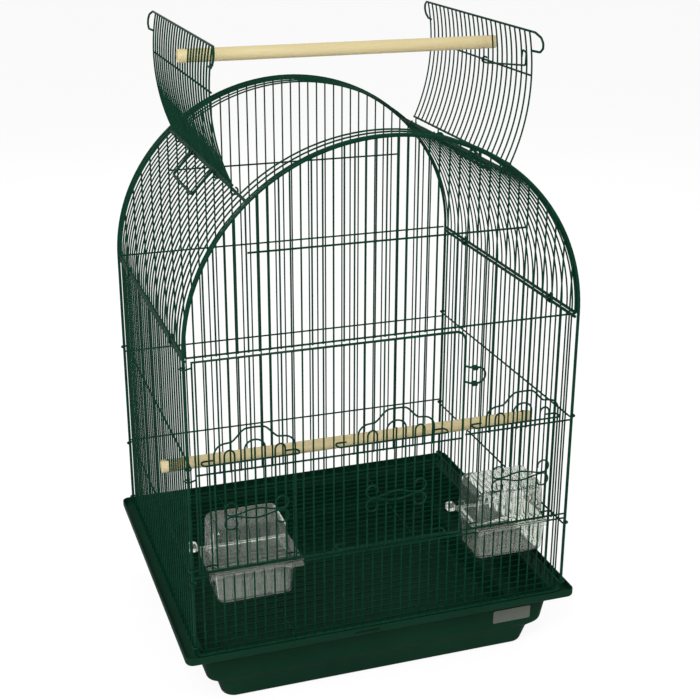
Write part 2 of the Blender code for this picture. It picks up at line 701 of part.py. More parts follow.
def build_main_door(wire):
    origin = Vector((-HALF_W, FRONT_Y, 0))
    bars = bmesh.new()
    for position in front_positions():
        x = bar_x(position)
        if DOOR_LEFT_X + BAR_RADIUS < x < DOOR_RIGHT_X - BAR_RADIUS * 2:
            doorway = any(low < position < high for low, high in SLIDE_GUIDES.values())
            low_z = DOOR_ROD_Z - BAR_RADIUS if doorway else SILL_Z
            add_wire(bars, ((x, FRONT_Y, low_z), (x, FRONT_Y, DOOR_TOP_Z)), BAR_RADIUS, -Y_AXIS)
    door = make_object("main_door", bars, wire, origin)
    edge = bmesh.new()
    hub = Vector((DOOR_RIGHT_X - DOOR_CORNER, FRONT_Y, DOOR_TOP_Z - DOOR_CORNER))
    outline = [
        Vector((DOOR_LEFT_X, FRONT_Y, SILL_Z)),
        Vector((DOOR_RIGHT_X, FRONT_Y, SILL_Z)),
        *arc(hub, DOOR_CORNER, 0, math.pi / 2, 3),
        Vector((DOOR_LEFT_X, FRONT_Y, DOOR_TOP_Z)),
    ]
    add_wire(edge, outline, DOOR_WIRE, Y_AXIS, 4, closed=True)
    combine(door, make_object("door_edge_shape", edge, wire, origin))
    fittings = bmesh.new()
    for z in (SILL_Z + 0.006, DOOR_ROD_Z - 0.004, DOOR_TOP_Z - 0.006):
        post = Vector((-HALF_W, FRONT_Y, z))
        eye = arc(post, EYE_RADIUS, math.radians(-52), math.radians(-308), 5, X_AXIS, Y_AXIS)
        add_wire(fittings, [Vector((DOOR_LEFT_X, FRONT_Y, z))] + eye, BAR_RADIUS, Z_AXIS)
    low = LATCH_Z - LATCH_HEIGHT / 2
    high = LATCH_Z + LATCH_HEIGHT / 2
    stand = FRONT_Y - LATCH_STAND
    near = DOOR_RIGHT_X + LATCH_REACH * 0.25
    far = DOOR_RIGHT_X + LATCH_REACH
    loop = (
        (DOOR_RIGHT_X, FRONT_Y, low),
        (near, stand, low),
        (far - 0.004, stand, low),
        (far, stand, low + 0.006),
        (far, stand, high - 0.006),
        (far - 0.004, stand, high),
        (near, stand, high),
        (DOOR_RIGHT_X, FRONT_Y, high),
    )
    add_wire(fittings, loop, SLIDE_WIRE, Vector((0.35, 1, 0.1)), 4)
    combine(door, make_object("door_fitting_shape", fittings, wire, origin))
    rod = bmesh.new()
    start = DOOR_LEFT_X + DOOR_WIRE + GAP
    end = DOOR_RIGHT_X - DOOR_WIRE - GAP
    place = FRONT_Y + ROD_STEP
    add_wire(rod, ((start, place, DOOR_ROD_Z), (end, place, DOOR_ROD_Z)), BAR_RADIUS, Y_AXIS)
    make_object("main_door_rod", rod, wire, origin)
    return door


# Sliding doors: nine bars that run up into a crown, looped round two guide bars


def smooth_step(share):
    return share * share * (3 - 2 * share)


def crown_outline(centre, top_z):
    """The bell-shaped top wire, from the left bar over the middle to the right bar."""
    half = SLIDE_WIDTH / 2
    shoulder_z = top_z + CROWN_SHOULDER
    corner = CROWN_SHOULDER * 0.57
    right = arc(Vector((centre + half - corner, SLIDE_BAR_Y, shoulder_z - corner)), corner, 0, math.pi / 2, 3)
    hump_half = half - corner - 0.012
    for step in range(1, 5):
        share = step / 4
        x = centre + hump_half * (1 - share)
        z = shoulder_z + (CROWN_RISE - CROWN_SHOULDER) * smooth_step(share)
        right.append(Vector((x, SLIDE_BAR_Y, z)))
    left = [Vector((2 * centre - point.x, point.y, point.z)) for point in reversed(right[:-1])]
    base = Vector((centre + half, SLIDE_BAR_Y, top_z))
    other = Vector((centre - half, SLIDE_BAR_Y, top_z))
    return [base] + right + left + [other]


def small_arch(x_left, x_right, spring_z, top_z, steps):
    points = []
    middle = (x_left + x_right) / 2
    half = (x_right - x_left) / 2
    for step in range(steps + 1):
        angle = math.pi * step / steps
        z = spring_z + (top_z - spring_z) * math.sin(angle)
        points.append(Vector((middle + half * math.cos(angle), SLIDE_BAR_Y, z)))
    return points


def build_sliding_door(side_name, wire):
    centre = slide_centre(side_name)
    guides = [bar_x(position) for position in SLIDE_GUIDES[side_name]]
    bottom_z = SLIDE_BOTTOM_Z
    top_z = bottom_z + SLIDE_HEIGHT
    step = SLIDE_WIDTH / (SLIDE_BARS - 1)
    xs = [centre - SLIDE_WIDTH / 2 + step * index for index in range(SLIDE_BARS)]
    small_spring = top_z + CROWN_SMALL_ARCH * 0.6
    middle_spring = top_z + CROWN_MIDDLE_ARCH * 0.6
    bars = bmesh.new()
    tops = {1: small_spring, 2: small_spring, 3: middle_spring, 5: middle_spring, 6: small_spring, 7: small_spring}
    tops[4] = top_z + CROWN_SMALL_ARCH
    rise_point = top_z + SLIDE_WIRE * 1.5
    for index in range(1, SLIDE_BARS - 1):
        if index == 4:
            points = [(xs[index], bottom_z - 0.0011), (xs[index], tops[index])]
            add_wire(bars, [(x, SLIDE_BAR_Y, z) for x, z in points], SLIDE_WIRE, Y_AXIS)
    for left, right, peak, spring in (
        (1, 2, CROWN_SMALL_ARCH, small_spring),
        (3, 5, CROWN_MIDDLE_ARCH, middle_spring),
        (6, 7, CROWN_SMALL_ARCH, small_spring),
    ):
        path = small_arch(xs[left], xs[right], spring, top_z + peak, 4)
        path.insert(0, Vector((xs[right], SLIDE_BAR_Y, bottom_z - 0.0011)))
        path.append(Vector((xs[left], SLIDE_BAR_Y, bottom_z - 0.0011)))
        add_wire(bars, path, SLIDE_WIRE, Y_AXIS)
    outline = crown_outline(centre, rise_point)
    outline[0] = Vector((outline[0].x, SLIDE_BAR_Y, bottom_z - 0.0011))
    outline[-1] = Vector((outline[-1].x, SLIDE_BAR_Y, bottom_z - 0.0011))
    add_wire(bars, outline, SLIDE_WIRE, Y_AXIS)
    door = make_object("sliding_door_" + side_name, bars, wire)
    rods = bmesh.new()
    for z in (bottom_z, top_z):
        add_wire(rods, guide_loop_path(guides, z), SLIDE_WIRE, Z_AXIS, 4)
    combine(door, make_object("slide_rod_shape_" + side_name, rods, wire))
    return door


def guide_loop_path(guides, z):
    """A cross wire whose ends bend inwards round the two guide bars."""
    points = []
    inner_y = FRONT_Y + LOOP_DEPTH
    for guide, outward in ((guides[0], -1), (guides[1], 1)):
        end = [
            Vector((guide - outward * LOOP_HALF_WIDTH * 0.75, inner_y, z)),
            Vector((guide + outward * LOOP_HALF_WIDTH * 0.75, inner_y, z)),
            Vector((guide + outward * LOOP_HALF_WIDTH, FRONT_Y + LOOP_DEPTH * 0.4, z)),
            Vector((guide + outward * LOOP_HALF_WIDTH * 0.8, SLIDE_ROD_Y, z)),
        ]
        points.extend(end if outward < 0 else reversed(end))
    return points


def build_scroll(side_name, wire):
    """A pair of bent wires with curled ends, mirrored about the door's middle height."""
    centre = slide_centre(side_name)
    y = SLIDE_BAR_Y - SLIDE_WIRE - GAP - SCROLL_WIRE
    hub_x = SCROLL_HALF_LENGTH - SCROLL_CURL
    touch = SCROLL_WIRE * 0.55
    parts = []
    for up in (1, -1):
        right = []
        for step in range(1, 4):
            x = hub_x * step / 4
            z = touch + SCROLL_BOW * math.cos(math.pi * x / hub_x / 2) ** 2
            right.append((x, z))
        turns = 8
        for step in range(turns + 1):
            angle = -math.pi / 2 + math.radians(285) * step / turns
            radius = SCROLL_CURL * (1 - 0.28 * step / turns)
            right.append((hub_x + radius * math.cos(angle), touch + SCROLL_CURL + radius * math.sin(angle)))
        path = [(-x, z) for x, z in reversed(right)] + [(0.0, touch + SCROLL_BOW)] + right
        wires = bmesh.new()
        points = [Vector((centre + x, y, SCROLL_Z + up * z)) for x, z in path]
        add_wire(wires, points, SCROLL_WIRE, Y_AXIS)
        parts.append(wires)
    scroll = make_object("door_scroll_" + side_name, parts[0], wire)
    combine(scroll, make_object("scroll_lower_shape_" + side_name, parts[1], wire))
    return scroll


# Perches: turned dowels, slotted at both ends to grip a bar


def add_dowel(mesh_data, start_x, end_x, y, z):
    rings = []
    for x in (start_x, end_x):
        rings.append(arc(Vector((x, y, z)), PERCH_RADIUS, 0, 2 * math.pi, 12, Y_AXIS, Z_AXIS)[:-1])
    loft(mesh_data, rings)


def build_perch(name, ends, slots, y, z, wood):
    """`slots` gives the depth of the slot in from each end."""
    body = bmesh.new()
    add_dowel(body, ends[0], ends[1], y, z)
    perch = make_object(name, body, wood, (0, y, z), smooth=True)
    cuts = bmesh.new()
    half = BAR_RADIUS + GAP
    for end, depth, outward in ((ends[0], slots[0], -1), (ends[1], slots[1], 1)):
        low = min(end + outward * 0.01, end - outward * depth)
        high = max(end + outward * 0.01, end - outward * depth)
        add_box(cuts, (low, y - half, z - 0.02), (high, y + half, z + 0.02))
    combine(perch, make_object(name + "_slot_shape", cuts, wood, (0, y, z)), "DIFFERENCE")
    return perch


def open_flap_path():
    """A bar of the open right flap: its closed shape turned about the hinge rail."""
    turn = Matrix.Rotation(FLAP_OPEN, 3, "Y")
    pivot = Vector((HINGE_X, 0, HINGE_Z))
    return [turn @ (point - pivot) + pivot for point in flap_path(0, 1)]


def open_flap_x(z):
    """X of the open right flap's bars at height z."""
    points = open_flap_path()
    for start, end in zip(points, points[1:]):
        if min(start.z, end.z) <= z <= max(start.z, end.z):
            return start.x + (end.x - start.x) * (z - start.z) / (end.z - start.z)
    return points[-1].x


def build_perches(wood):
    z = open_flap_path()[-1].z - TOP_PERCH_DROP
    nearest = min(open_flap_x(z - PERCH_RADIUS), open_flap_x(z + PERCH_RADIUS))
    end_x = open_flap_x(z) + TOP_PERCH_OVERHANG
    depth = end_x - nearest + BAR_RADIUS + 2 * GAP
    build_perch("top_perch", (-end_x, end_x), (depth, depth), bar_y(TOP_PERCH_BAR), z, wood)
    ends = (-SIDE_X - INNER_PERCH_OVERHANG[0], SIDE_X + INNER_PERCH_OVERHANG[1])
    slots = [overhang + BAR_RADIUS + 2 * GAP for overhang in INNER_PERCH_OVERHANG]
    build_perch("inner_perch", ends, slots, bar_y(INNER_PERCH_BAR), INNER_PERCH_Z, wood)


# Feeders: a clear cup hung on the low front rod, with a clear hood over its back


def build_feeder(side_name, plastic):
    edges = [bar_x(position) for position in FEEDERS[side_name]]
    rim_left, rim_right, cup_left, cup_right, hood_left, hood_right = edges
    inner_y = FRONT_Y + FEEDER_DEPTH
    wall_y = FRONT_Y + ROD_STEP + BAR_RADIUS + 2 * GAP
    centre = ((cup_left + cup_right) / 2, (wall_y + inner_y) / 2)
    half_x = (cup_right - cup_left) / 2
    half_y = (inner_y - wall_y) / 2
    bottom_z = FLANGE_TOP_Z - FEEDER_CUP_HEIGHT
    taper = 0.006
    rings = (
        (half_x - taper, half_y - taper, bottom_z),
        (half_x, half_y, FLANGE_BOTTOM_Z + 0.0004),
    )
    cup = bmesh.new()
    loft(cup, [rounded_rectangle(centre, x, y, 0.008, z, 2) for x, y, z in rings])
    holder = make_object("feeder_cup_" + side_name, cup, plastic)
    flange = bmesh.new()
    lip_back = FRONT_Y - BAR_RADIUS - GAP
    lip_front = lip_back - 0.0012
    back_y = inner_y + 0.004
    outline = (
        (back_y, FLANGE_BOTTOM_Z),
        (back_y, FLANGE_TOP_Z),
        (lip_front, FLANGE_TOP_Z),
        (lip_front, FLANGE_TOP_Z - 0.010),
        (lip_back, FLANGE_TOP_Z - 0.010),
        (lip_back, FLANGE_BOTTOM_Z),
    )
    loft(flange, [[Vector((x, y, z)) for y, z in outline] for x in (rim_left, rim_right)])
    combine(holder, make_object("feeder_flange_shape_" + side_name, flange, plastic))
    hollow = bmesh.new()
    inside = (
        (half_x - taper - FEEDER_WALL, half_y - taper - FEEDER_WALL, bottom_z + FEEDER_WALL),
        (half_x - FEEDER_WALL, half_y - FEEDER_WALL, FLANGE_TOP_Z + 0.002),
    )
    loft(hollow, [rounded_rectangle(centre, x, y, 0.006, z, 2) for x, y, z in inside])
    combine(holder, make_object("feeder_hollow_shape_" + side_name, hollow, plastic), "DIFFERENCE")
    build_feeder_hood(side_name, hood_left, hood_right, wall_y, inner_y, plastic)


def hood_outline(left, right, y, low, high, corner):
    """A gate-shaped outline with round upper corners, from low left to low right."""
    points = [Vector((left, y, low))]
    points.extend(arc(Vector((left + corner, y, high - corner)), corner, math.pi, math.pi / 2, 3))
    points.extend(arc(Vector((right - corner, y, high - corner)), corner, math.pi / 2, 0, 3))
    points.append(Vector((right, y, low)))
    return points


def build_feeder_hood(side_name, left, right, wall_y, inner_y, plastic):
    front = FRONT_Y + LOOP_DEPTH + SLIDE_WIRE + FEEDER_HOOD_ROOM
    low = FLANGE_TOP_Z + GAP
    shell = bmesh.new()
    outer = [
        hood_outline(left, right, y, low, FEEDER_HOOD_TOP, FEEDER_HOOD_CORNER) for y in (front, inner_y)
    ]
    loft(shell, outer)
    hood = make_object("feeder_hood_" + side_name, shell, plastic)
    hollow = bmesh.new()
    wall = FEEDER_WALL
    inner = [
        hood_outline(left + wall, right - wall, y, low - 0.01, FEEDER_HOOD_TOP - wall, FEEDER_HOOD_CORNER - wall)
        for y in (front + wall, inner_y + 0.01)
    ]
    loft(hollow, inner)
    combine(hood, make_object("hood_hollow_shape_" + side_name, hollow, plastic), "DIFFERENCE")
    return hood


# Carry handles: bails hooked on the hinge rails, lying on the vault below them


def build_handle(side_name, side, wire):
    rail = Vector((side * HINGE_X, 0, HINGE_Z))
    lift = BAR_RADIUS + HANDLE_WIRE + GAP
    below = hoop(0, 0, HINGE_ANGLE, 3, side)[::-1]
    foot, _ = inside_of_path(below, HANDLE_LENGTH, -lift, side)
    toward = (foot - rail).normalized()
    square = Vector((toward.z, 0, -toward.x)) * -side
    eye_radius = (FRAME_RADIUS + HANDLE_WIRE + GAP) / math.cos(math.radians(24))
    points = []
    for end in (-1, 1):
        shift = Y_AXIS * end * HANDLE_HALF_BAYS * PITCH_Y
        eye = arc(rail + shift, eye_radius, math.radians(300), math.radians(60), 5, toward, square)
        leg_end = foot + shift
        leg = eye + [leg_end - toward * 0.008, leg_end - Y_AXIS * end * 0.006]
        points.extend(leg if end < 0 else reversed(leg))
    bail = bmesh.new()
    add_wire(bail, points, HANDLE_WIRE, square + Y_AXIS, 6)
    return make_object("carry_handle_" + side_name, bail, wire, rail)


# Roof hook: a long hooked wire with an eye round the right flap's cross rod


def build_flap_hook(wire):
    rod, inward = inside_of_path(flap_path(0, 1)[::-1], FLAP_ROD_DROP, ROD_STEP, 1)
    upward = Vector((inward.z, 0, -inward.x))
    pivot = Vector((HINGE_X, 0, HINGE_Z))
    turn = Matrix.Rotation(FLAP_OPEN, 3, "Y")
    eye_y = bay_y(13)
    reach_y = eye_y - 0.115
    side_step = (BAR_RADIUS + SLIDE_WIRE + GAP) / math.cos(math.radians(24))
    eye = arc(rod + Y_AXIS * eye_y, side_step, math.radians(150), math.radians(-90), 5, inward, upward)
    start = eye[-1]
    path = [
        rod + inward * side_step - upward * 0.002 + Y_AXIS * (eye_y - 0.012),
        rod + inward * side_step + upward * 0.010 + Y_AXIS * reach_y,
        rod + inward * side_step + upward * 0.024 + Y_AXIS * (reach_y - 0.001),
        rod + inward * side_step + upward * 0.026 + Y_AXIS * (reach_y + 0.009),
        rod + inward * side_step + upward * 0.018 + Y_AXIS * (reach_y + 0.010),
    ]
    hook = bmesh.new()
    points = eye + path
    moved = [turn @ (point - pivot) + pivot for point in points]
    add_wire(hook, moved, SLIDE_WIRE, turn @ (inward + Y_AXIS), 4)
    origin = turn @ (rod - pivot) + pivot
    return make_object("flap_hook", hook, wire, origin)


# Roof clips: small bent plates that hold each roof shoulder rail to the side panel's top wire


def build_clips(wire):
    number = 1
    for side in (-1, 1):
        for index in CLIP_BAYS:
            y = bay_y(index)
            inner = FRAME_RADIUS + GAP
            outer = inner + CLIP_WALL
            low = SIDE_TOP_Z - inner
            high = SHOULDER_Z + inner
            outline = (
                (-outer, low - CLIP_WALL),
                (outer, low - CLIP_WALL),
                (outer, high + CLIP_WALL),
                (inner, high + CLIP_WALL),
                (inner, low),
                (-inner, low),
                (-inner, high + CLIP_WALL),
                (-outer, high + CLIP_WALL),
            )
            clip = bmesh.new()
            rings = []
            for end in (-1, 1):
                place = y + end * CLIP_LENGTH / 2
                rings.append([Vector((side * (SIDE_X + x), place, z)) for x, z in outline])
            loft(clip, rings)
            make_object(f"roof_clip_{number}", clip, wire)
            number += 1


def build_cage():
    clear_scene()
    frame_green = make_material("frame_green", (0.006, 0.060, 0.030), 0.35)
    wire_green = make_material("wire_green", (0.008, 0.068, 0.036), 0.38)
    tub_green = make_material("tub_green", (0.006, 0.042, 0.026), 0.42)
    pale_wood = make_material("pale_wood", (0.72, 0.56, 0.33), 0.6)
    clear_plastic = make_material("clear_plastic", (0.80, 0.82, 0.80), 0.12, alpha=0.4)
    bare_plate = make_material("bare_plate", (0.30, 0.31, 0.29), 0.35)
    build_tub(tub_green)
    build_name_plate(bare_plate)
    build_grate(wire_green)
    build_end_frame("front_panel", FRONT_Y, front_spans, frame_green, wire_green)
    build_end_frame("back_panel", HALF_D, back_spans, frame_green, wire_green)
    build_cross_rods(wire_green)
    build_side("left", -1, wire_green)
    build_side("right", 1, wire_green)
    build_roof(wire_green)
    build_flap("left", -1, wire_green)
    build_flap("right", 1, wire_green)
    build_flap_hook(wire_green)
    build_main_door(wire_green)
    for side_name in SLIDE_GUIDES:
        build_sliding_door(side_name, wire_green)
        build_scroll(side_name, wire_green)
    build_perches(pale_wood)
    for side_name in FEEDERS:
        build_feeder(side_name, clear_plastic)
    build_handle("left", -1, frame_green)
    build_handle("right", 1, frame_green)
    build_clips(wire_green)


build_cage()
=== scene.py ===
import math

import bmesh
import bpy
from mathutils import Matrix, Vector


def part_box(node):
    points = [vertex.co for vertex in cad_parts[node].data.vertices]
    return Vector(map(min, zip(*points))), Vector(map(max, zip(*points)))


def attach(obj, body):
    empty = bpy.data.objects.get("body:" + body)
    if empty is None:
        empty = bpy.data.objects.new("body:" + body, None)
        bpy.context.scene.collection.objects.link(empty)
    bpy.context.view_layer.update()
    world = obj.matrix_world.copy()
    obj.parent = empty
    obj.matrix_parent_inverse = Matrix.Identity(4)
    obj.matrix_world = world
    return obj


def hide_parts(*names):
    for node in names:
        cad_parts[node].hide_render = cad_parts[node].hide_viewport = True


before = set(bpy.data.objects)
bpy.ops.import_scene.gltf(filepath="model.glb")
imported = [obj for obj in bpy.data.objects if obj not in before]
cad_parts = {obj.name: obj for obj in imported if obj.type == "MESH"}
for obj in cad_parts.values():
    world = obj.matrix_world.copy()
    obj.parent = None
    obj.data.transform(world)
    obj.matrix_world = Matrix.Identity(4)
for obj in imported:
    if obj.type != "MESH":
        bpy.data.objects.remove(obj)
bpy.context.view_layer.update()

# Studio
# A pale floor under soft light, as in a shop photograph. The camera stands to
# the left of the cage and above it, so the floor fills the whole background.

CAMERA_PLACE = Vector((-0.486, -1.486, 0.945))
CAMERA_TURN = math.radians(18.85)
CAMERA_TILT = math.radians(20.71)
CAMERA_ROLL = math.radians(0.17)
CAMERA_LENS = 68.91
# Place, size and power of each lamp
LAMPS = {
    "key_lamp": ((-1.55, -1.75, 2.15), 1.5, 88.0),
    "fill_lamp": ((1.90, -1.30, 1.25), 1.2, 18.0),
    "back_lamp": ((0.50, 1.75, 2.00), 1.4, 30.0),
}
LAMP_AIM = Vector((0, 0, 0.35))
AIR_LIGHT = 0.60
AIR_MIRRORED = 0.50
FLOOR_MIRRORED = 0.35
FLOOR_GLOW = 0.88
FLOOR_REACH = 9.0
WHITE = (1, 1, 1, 1)


def add_node(tree, kind, inputs=None, **options):
    """Adds a node. Its inputs are filled with plain values, with outputs of other nodes, or with
    nodes whose first output is meant."""
    node = tree.nodes.new(kind)
    for name, value in options.items():
        setattr(node, name, value)
    for name, value in (inputs or {}).items():
        if isinstance(value, bpy.types.Node):
            value = value.outputs[0]
        if isinstance(value, bpy.types.NodeSocket):
            tree.links.new(value, node.inputs[name])
        else:
            node.inputs[name].default_value = value
    return node


def reckon(tree, operation, first, second=0.0):
    """A sum, product or other operation on two numbers."""
    return add_node(tree, "ShaderNodeMath", {0: first, 1: second}, operation=operation)


def ramp(tree, value, low, high, start=0.0, end=1.0):
    """Runs from low to high while the value runs from start to end."""
    return add_node(tree, "ShaderNodeMapRange", {0: value, 1: start, 2: end, 3: low, 4: high})


def noise(tree, space, scale, detail, **more):
    """Cloudy noise from 0 to 1."""
    return add_node(tree, "ShaderNodeTexNoise", {"Vector": space, "Scale": scale, "Detail": detail, **more})


def seen_directly(tree):
    """1 where the camera looks at a surface, straight or through a clear piece, otherwise 0."""
    ray = add_node(tree, "ShaderNodeLightPath").outputs
    return reckon(tree, "MAXIMUM", ray["Is Camera Ray"], ray["Is Transmission Ray"])


def add_object(name, data):
    """Puts a new object into the scene."""
    added = bpy.data.objects.new(name, data)
    scene.collection.objects.link(added)
    return added


def as_mesh(name, shape):
    """Turns a bmesh into a mesh."""
    mesh = bpy.data.meshes.new(name)
    shape.to_mesh(mesh)
    shape.free()
    return mesh


scene = bpy.context.scene
scene.view_settings.view_transform = "Standard"

world = bpy.data.worlds.new("studio_air")
scene.world = world
world.use_nodes = True
tree = world.node_tree
tree.nodes.clear()
mirrored = add_node(tree, "ShaderNodeLightPath").outputs["Is Glossy Ray"]
level = ramp(tree, seen_directly(tree), ramp(tree, mirrored, AIR_LIGHT, AIR_MIRRORED), 1.0)
sky = add_node(tree, "ShaderNodeBackground", {"Color": WHITE, "Strength": level})
add_node(tree, "ShaderNodeOutputWorld", {"Surface": sky})

floor_paper = bpy.data.materials.new("floor_paper")
floor_paper.use_nodes = True
tree = floor_paper.node_tree
tree.nodes.clear()
spot = add_node(tree, "ShaderNodeTexCoord").outputs["Object"]
shade = ramp(tree, noise(tree, spot, 2.5, 3.0), 0.95, 0.97, 0.3, 0.7)
mirrored = add_node(tree, "ShaderNodeLightPath").outputs["Is Glossy Ray"]
paper = add_node(tree, "ShaderNodeBsdfDiffuse", {"Color": ramp(tree, mirrored, shade, FLOOR_MIRRORED)})
glow = add_node(tree, "ShaderNodeEmission", {"Color": WHITE, "Strength": 1.0})
share = reckon(tree, "MULTIPLY", seen_directly(tree), FLOOR_GLOW)
mixed = add_node(tree, "ShaderNodeMixShader", {0: share, 1: paper, 2: glow})
add_node(tree, "ShaderNodeOutputMaterial", {"Surface": mixed})

floor_shape = bmesh.new()
bmesh.ops.create_grid(floor_shape, x_segments=4, y_segments=4, size=FLOOR_REACH)
floor = add_object("studio_floor", as_mesh("studio_floor", floor_shape))
floor.data.materials.append(floor_paper)

for lamp_name, (place, size, power) in LAMPS.items():
    light = bpy.data.lights.new(lamp_name, "AREA")
    light.shape = "SQUARE"
    light.size = size
    light.energy = power
    lamp = add_object(lamp_name, light)
    lamp.location = place
    lamp.rotation_euler = (LAMP_AIM - Vector(place)).to_track_quat("-Z", "Y").to_euler()
    lamp.visible_glossy = lamp_name == "key_lamp"
    lamp.visible_transmission = False

ahead = Vector((
    math.sin(CAMERA_TURN) * math.cos(CAMERA_TILT),
    math.cos(CAMERA_TURN) * math.cos(CAMERA_TILT),
    -math.sin(CAMERA_TILT),
))
level_right = Vector((math.cos(CAMERA_TURN), -math.sin(CAMERA_TURN), 0))
level_up = level_right.cross(ahead)
right = level_right * math.cos(CAMERA_ROLL) + level_up * math.sin(CAMERA_ROLL)
up = level_up * math.cos(CAMERA_ROLL) - level_right * math.sin(CAMERA_ROLL)
lens = bpy.data.cameras.new("photo_camera")
lens.lens = CAMERA_LENS
lens.sensor_width = 36.0
lens.clip_end = 40.0
camera = add_object("photo_camera", lens)
camera.matrix_world = Matrix.Translation(CAMERA_PLACE) @ Matrix((right, up, -ahead)).transposed().to_4x4()
scene.camera = camera

# Tub
# One moulding of dark green plastic: a floor, a step, a leaning wall and a rim
# with a raised lip that keeps the wire cage in place. It stands on four feet.

RIM_Z = 0.077
LIP_TOP_Z = 0.085
# Half width, half depth, corner radius and height of each edge of the moulding,
# and how far its rounding reaches, up the outside and down the inside
TUB_EDGES = (
    (0.1840, 0.1665, 0.0100, 0.0012, 0),
    (0.1925, 0.1750, 0.0145, 0.0012, 0.0010),
    (0.1945, 0.1770, 0.0160, 0.0034, 0.0016),
    (0.2000, 0.1825, 0.0150, 0.0262, 0.0022),
    (0.2140, 0.1870, 0.0130, 0.0335, 0.0045),
    (0.2215, 0.1890, 0.0120, 0.0712, 0.0025),
    (0.2420, 0.2095, 0.0075, 0.0750, 0.0025),
    (0.2438, 0.2113, 0.0090, 0.0775, 0.0010),
    (0.2438, 0.2113, 0.0090, LIP_TOP_Z, 0.0008),
    (0.2422, 0.2097, 0.0074, LIP_TOP_Z, 0.0008),
    (0.2420, 0.2095, 0.0072, RIM_Z, 0.0014),
    (0.2193, 0.1868, 0.0098, RIM_Z, 0.0030),
    (0.2118, 0.1848, 0.0108, 0.0362, 0.0040),
    (0.1978, 0.1803, 0.0128, 0.0292, 0.0035),
    (0.1928, 0.1753, 0.0138, 0.0034, 0.0050),
    (0.1800, 0.1620, 0.0080, 0.0034, 0),
)
FOOT_X = 0.1599
FOOT_Y = 0.14555
FOOT_RADIUS = 0.0090
# Share of the radius and height of each ring of a foot
FOOT_RINGS = ((0.6, 0.0), (0.9, 0.0001), (1.0, 0.0006), (1.02, 0.0016))
SLOT_LOW = (-0.043, -0.2170, 0.0784)
SLOT_HIGH = (-0.013, -0.2085, 0.0820)
ALONG_X, ALONG_Y, ALONG_Z = (1, 0, 0), (0, 1, 0), (0, 0, 1)


def soft_edges(edges, steps=4):
    """Rounds the corners of a profile. The last number of each edge is its rounding's reach."""
    made = [edges[0][:-1]]
    for before, edge, after in zip(edges, edges[1:], edges[2:]):
        ends = []
        for other in (before, after):
            share = min(edge[-1] / math.dist(edge[:-1], other[:-1]), 0.48)
            ends.append([a + (b - a) * share for a, b in zip(edge[:-1], other[:-1])])
        for step in range(steps + 1):
            t = step / steps
            shares = (1 - t) ** 2, 2 * t * (1 - t), t * t
            made.append([
                sum(share * value for share, value in zip(shares, values))
                for values in zip(ends[0], edge, ends[1])
            ])
    made.append(edges[-1][:-1])
    return made


def arc(centre, radius, start, end, steps, first=ALONG_X, second=ALONG_Z):
    """Points on an arc, with its angles in degrees, in the plane of two directions."""
    points = []
    for step in range(steps + 1):
        angle = math.radians(start + (end - start) * step / steps)
        across = Vector(first) * radius * math.cos(angle)
        points.append(Vector(centre) + across + Vector(second) * radius * math.sin(angle))
    return points


def plan_ring(low_x, high_x, low_y, high_y, corner, z, steps=9):
    """A level ring: a rectangle with round corners, seen from above."""
    hubs = (
        (high_x - corner, high_y - corner),
        (low_x + corner, high_y - corner),
        (low_x + corner, low_y + corner),
        (high_x - corner, low_y + corner),
    )
    points = []
    for quarter, (x, y) in enumerate(hubs):
        points += arc((x, y, z), corner, quarter * 90, quarter * 90 + 90, steps, ALONG_X, ALONG_Y)
    return points


def loft(shape, rings):
    """Joins rings of points into a closed body."""
    made = [[shape.verts.new(point) for point in ring] for ring in rings]
    for ring, following in zip(made, made[1:]):
        for index in range(len(ring)):
            beside = (index + 1) % len(ring)
            shape.faces.new((ring[index], ring[beside], following[beside], following[index]))
    shape.faces.new(made[0][::-1])
    shape.faces.new(made[-1])


def add_block(shape, low, high):
    """Adds a block between two corners."""
    size = Matrix.Diagonal((*(high - low), 1.0))
    bmesh.ops.create_cube(shape, size=1.0, matrix=Matrix.Translation((high + low) / 2) @ size)


def applied(maker):
    """The mesh that an object's modifiers make. The object itself is removed."""
    mesh = bpy.data.meshes.new_from_object(maker.evaluated_get(bpy.context.evaluated_depsgraph_get()))
    bpy.data.objects.remove(maker)
    return mesh


def add_piece(name, shape, material, sharp, modifiers=()):
    """Makes a finished piece from a bmesh, with its modifiers applied and smooth shading."""
    bmesh.ops.recalc_face_normals(shape, faces=shape.faces)
    maker = add_object(name + "_maker", as_mesh(name + "_shape", shape))
    for kind, options in modifiers:
        modifier = maker.modifiers.new(kind.title(), kind)
        for option, value in options.items():
            setattr(modifier, option, value)
    finished = applied(maker)
    finished.materials.clear()
    finished.materials.append(material)
    finished.shade_smooth()
    finished.set_sharp_from_angle(angle=math.radians(sharp))
    return add_object(name, finished)


def start_material(name):
    """A new material. Returns it, its tree and its Object coordinates."""
    material = bpy.data.materials.new(name)
    material.use_nodes = True
    tree = material.node_tree
    return material, tree, add_node(tree, "ShaderNodeTexCoord").outputs["Object"]


def stretched(tree, space, scale):
    """Coordinates that run faster along some axes than along others."""
    return add_node(tree, "ShaderNodeMapping", {"Vector": space, "Scale": scale})


def tint(tree, share, *colours):
    """A colour between two colours."""
    low, high = [c if isinstance(c, bpy.types.NodeSocket) else (*c, 1) for c in colours]
    return add_node(tree, "ShaderNodeMix", {0: share, 6: low, 7: high}, data_type="RGBA").outputs[2]


def bumps(tree, height, strength, distance, **more):
    """Dents of a depth in metres."""
    return add_node(
        tree, "ShaderNodeBump", {"Strength": strength, "Distance": distance, "Height": height, **more}
    )


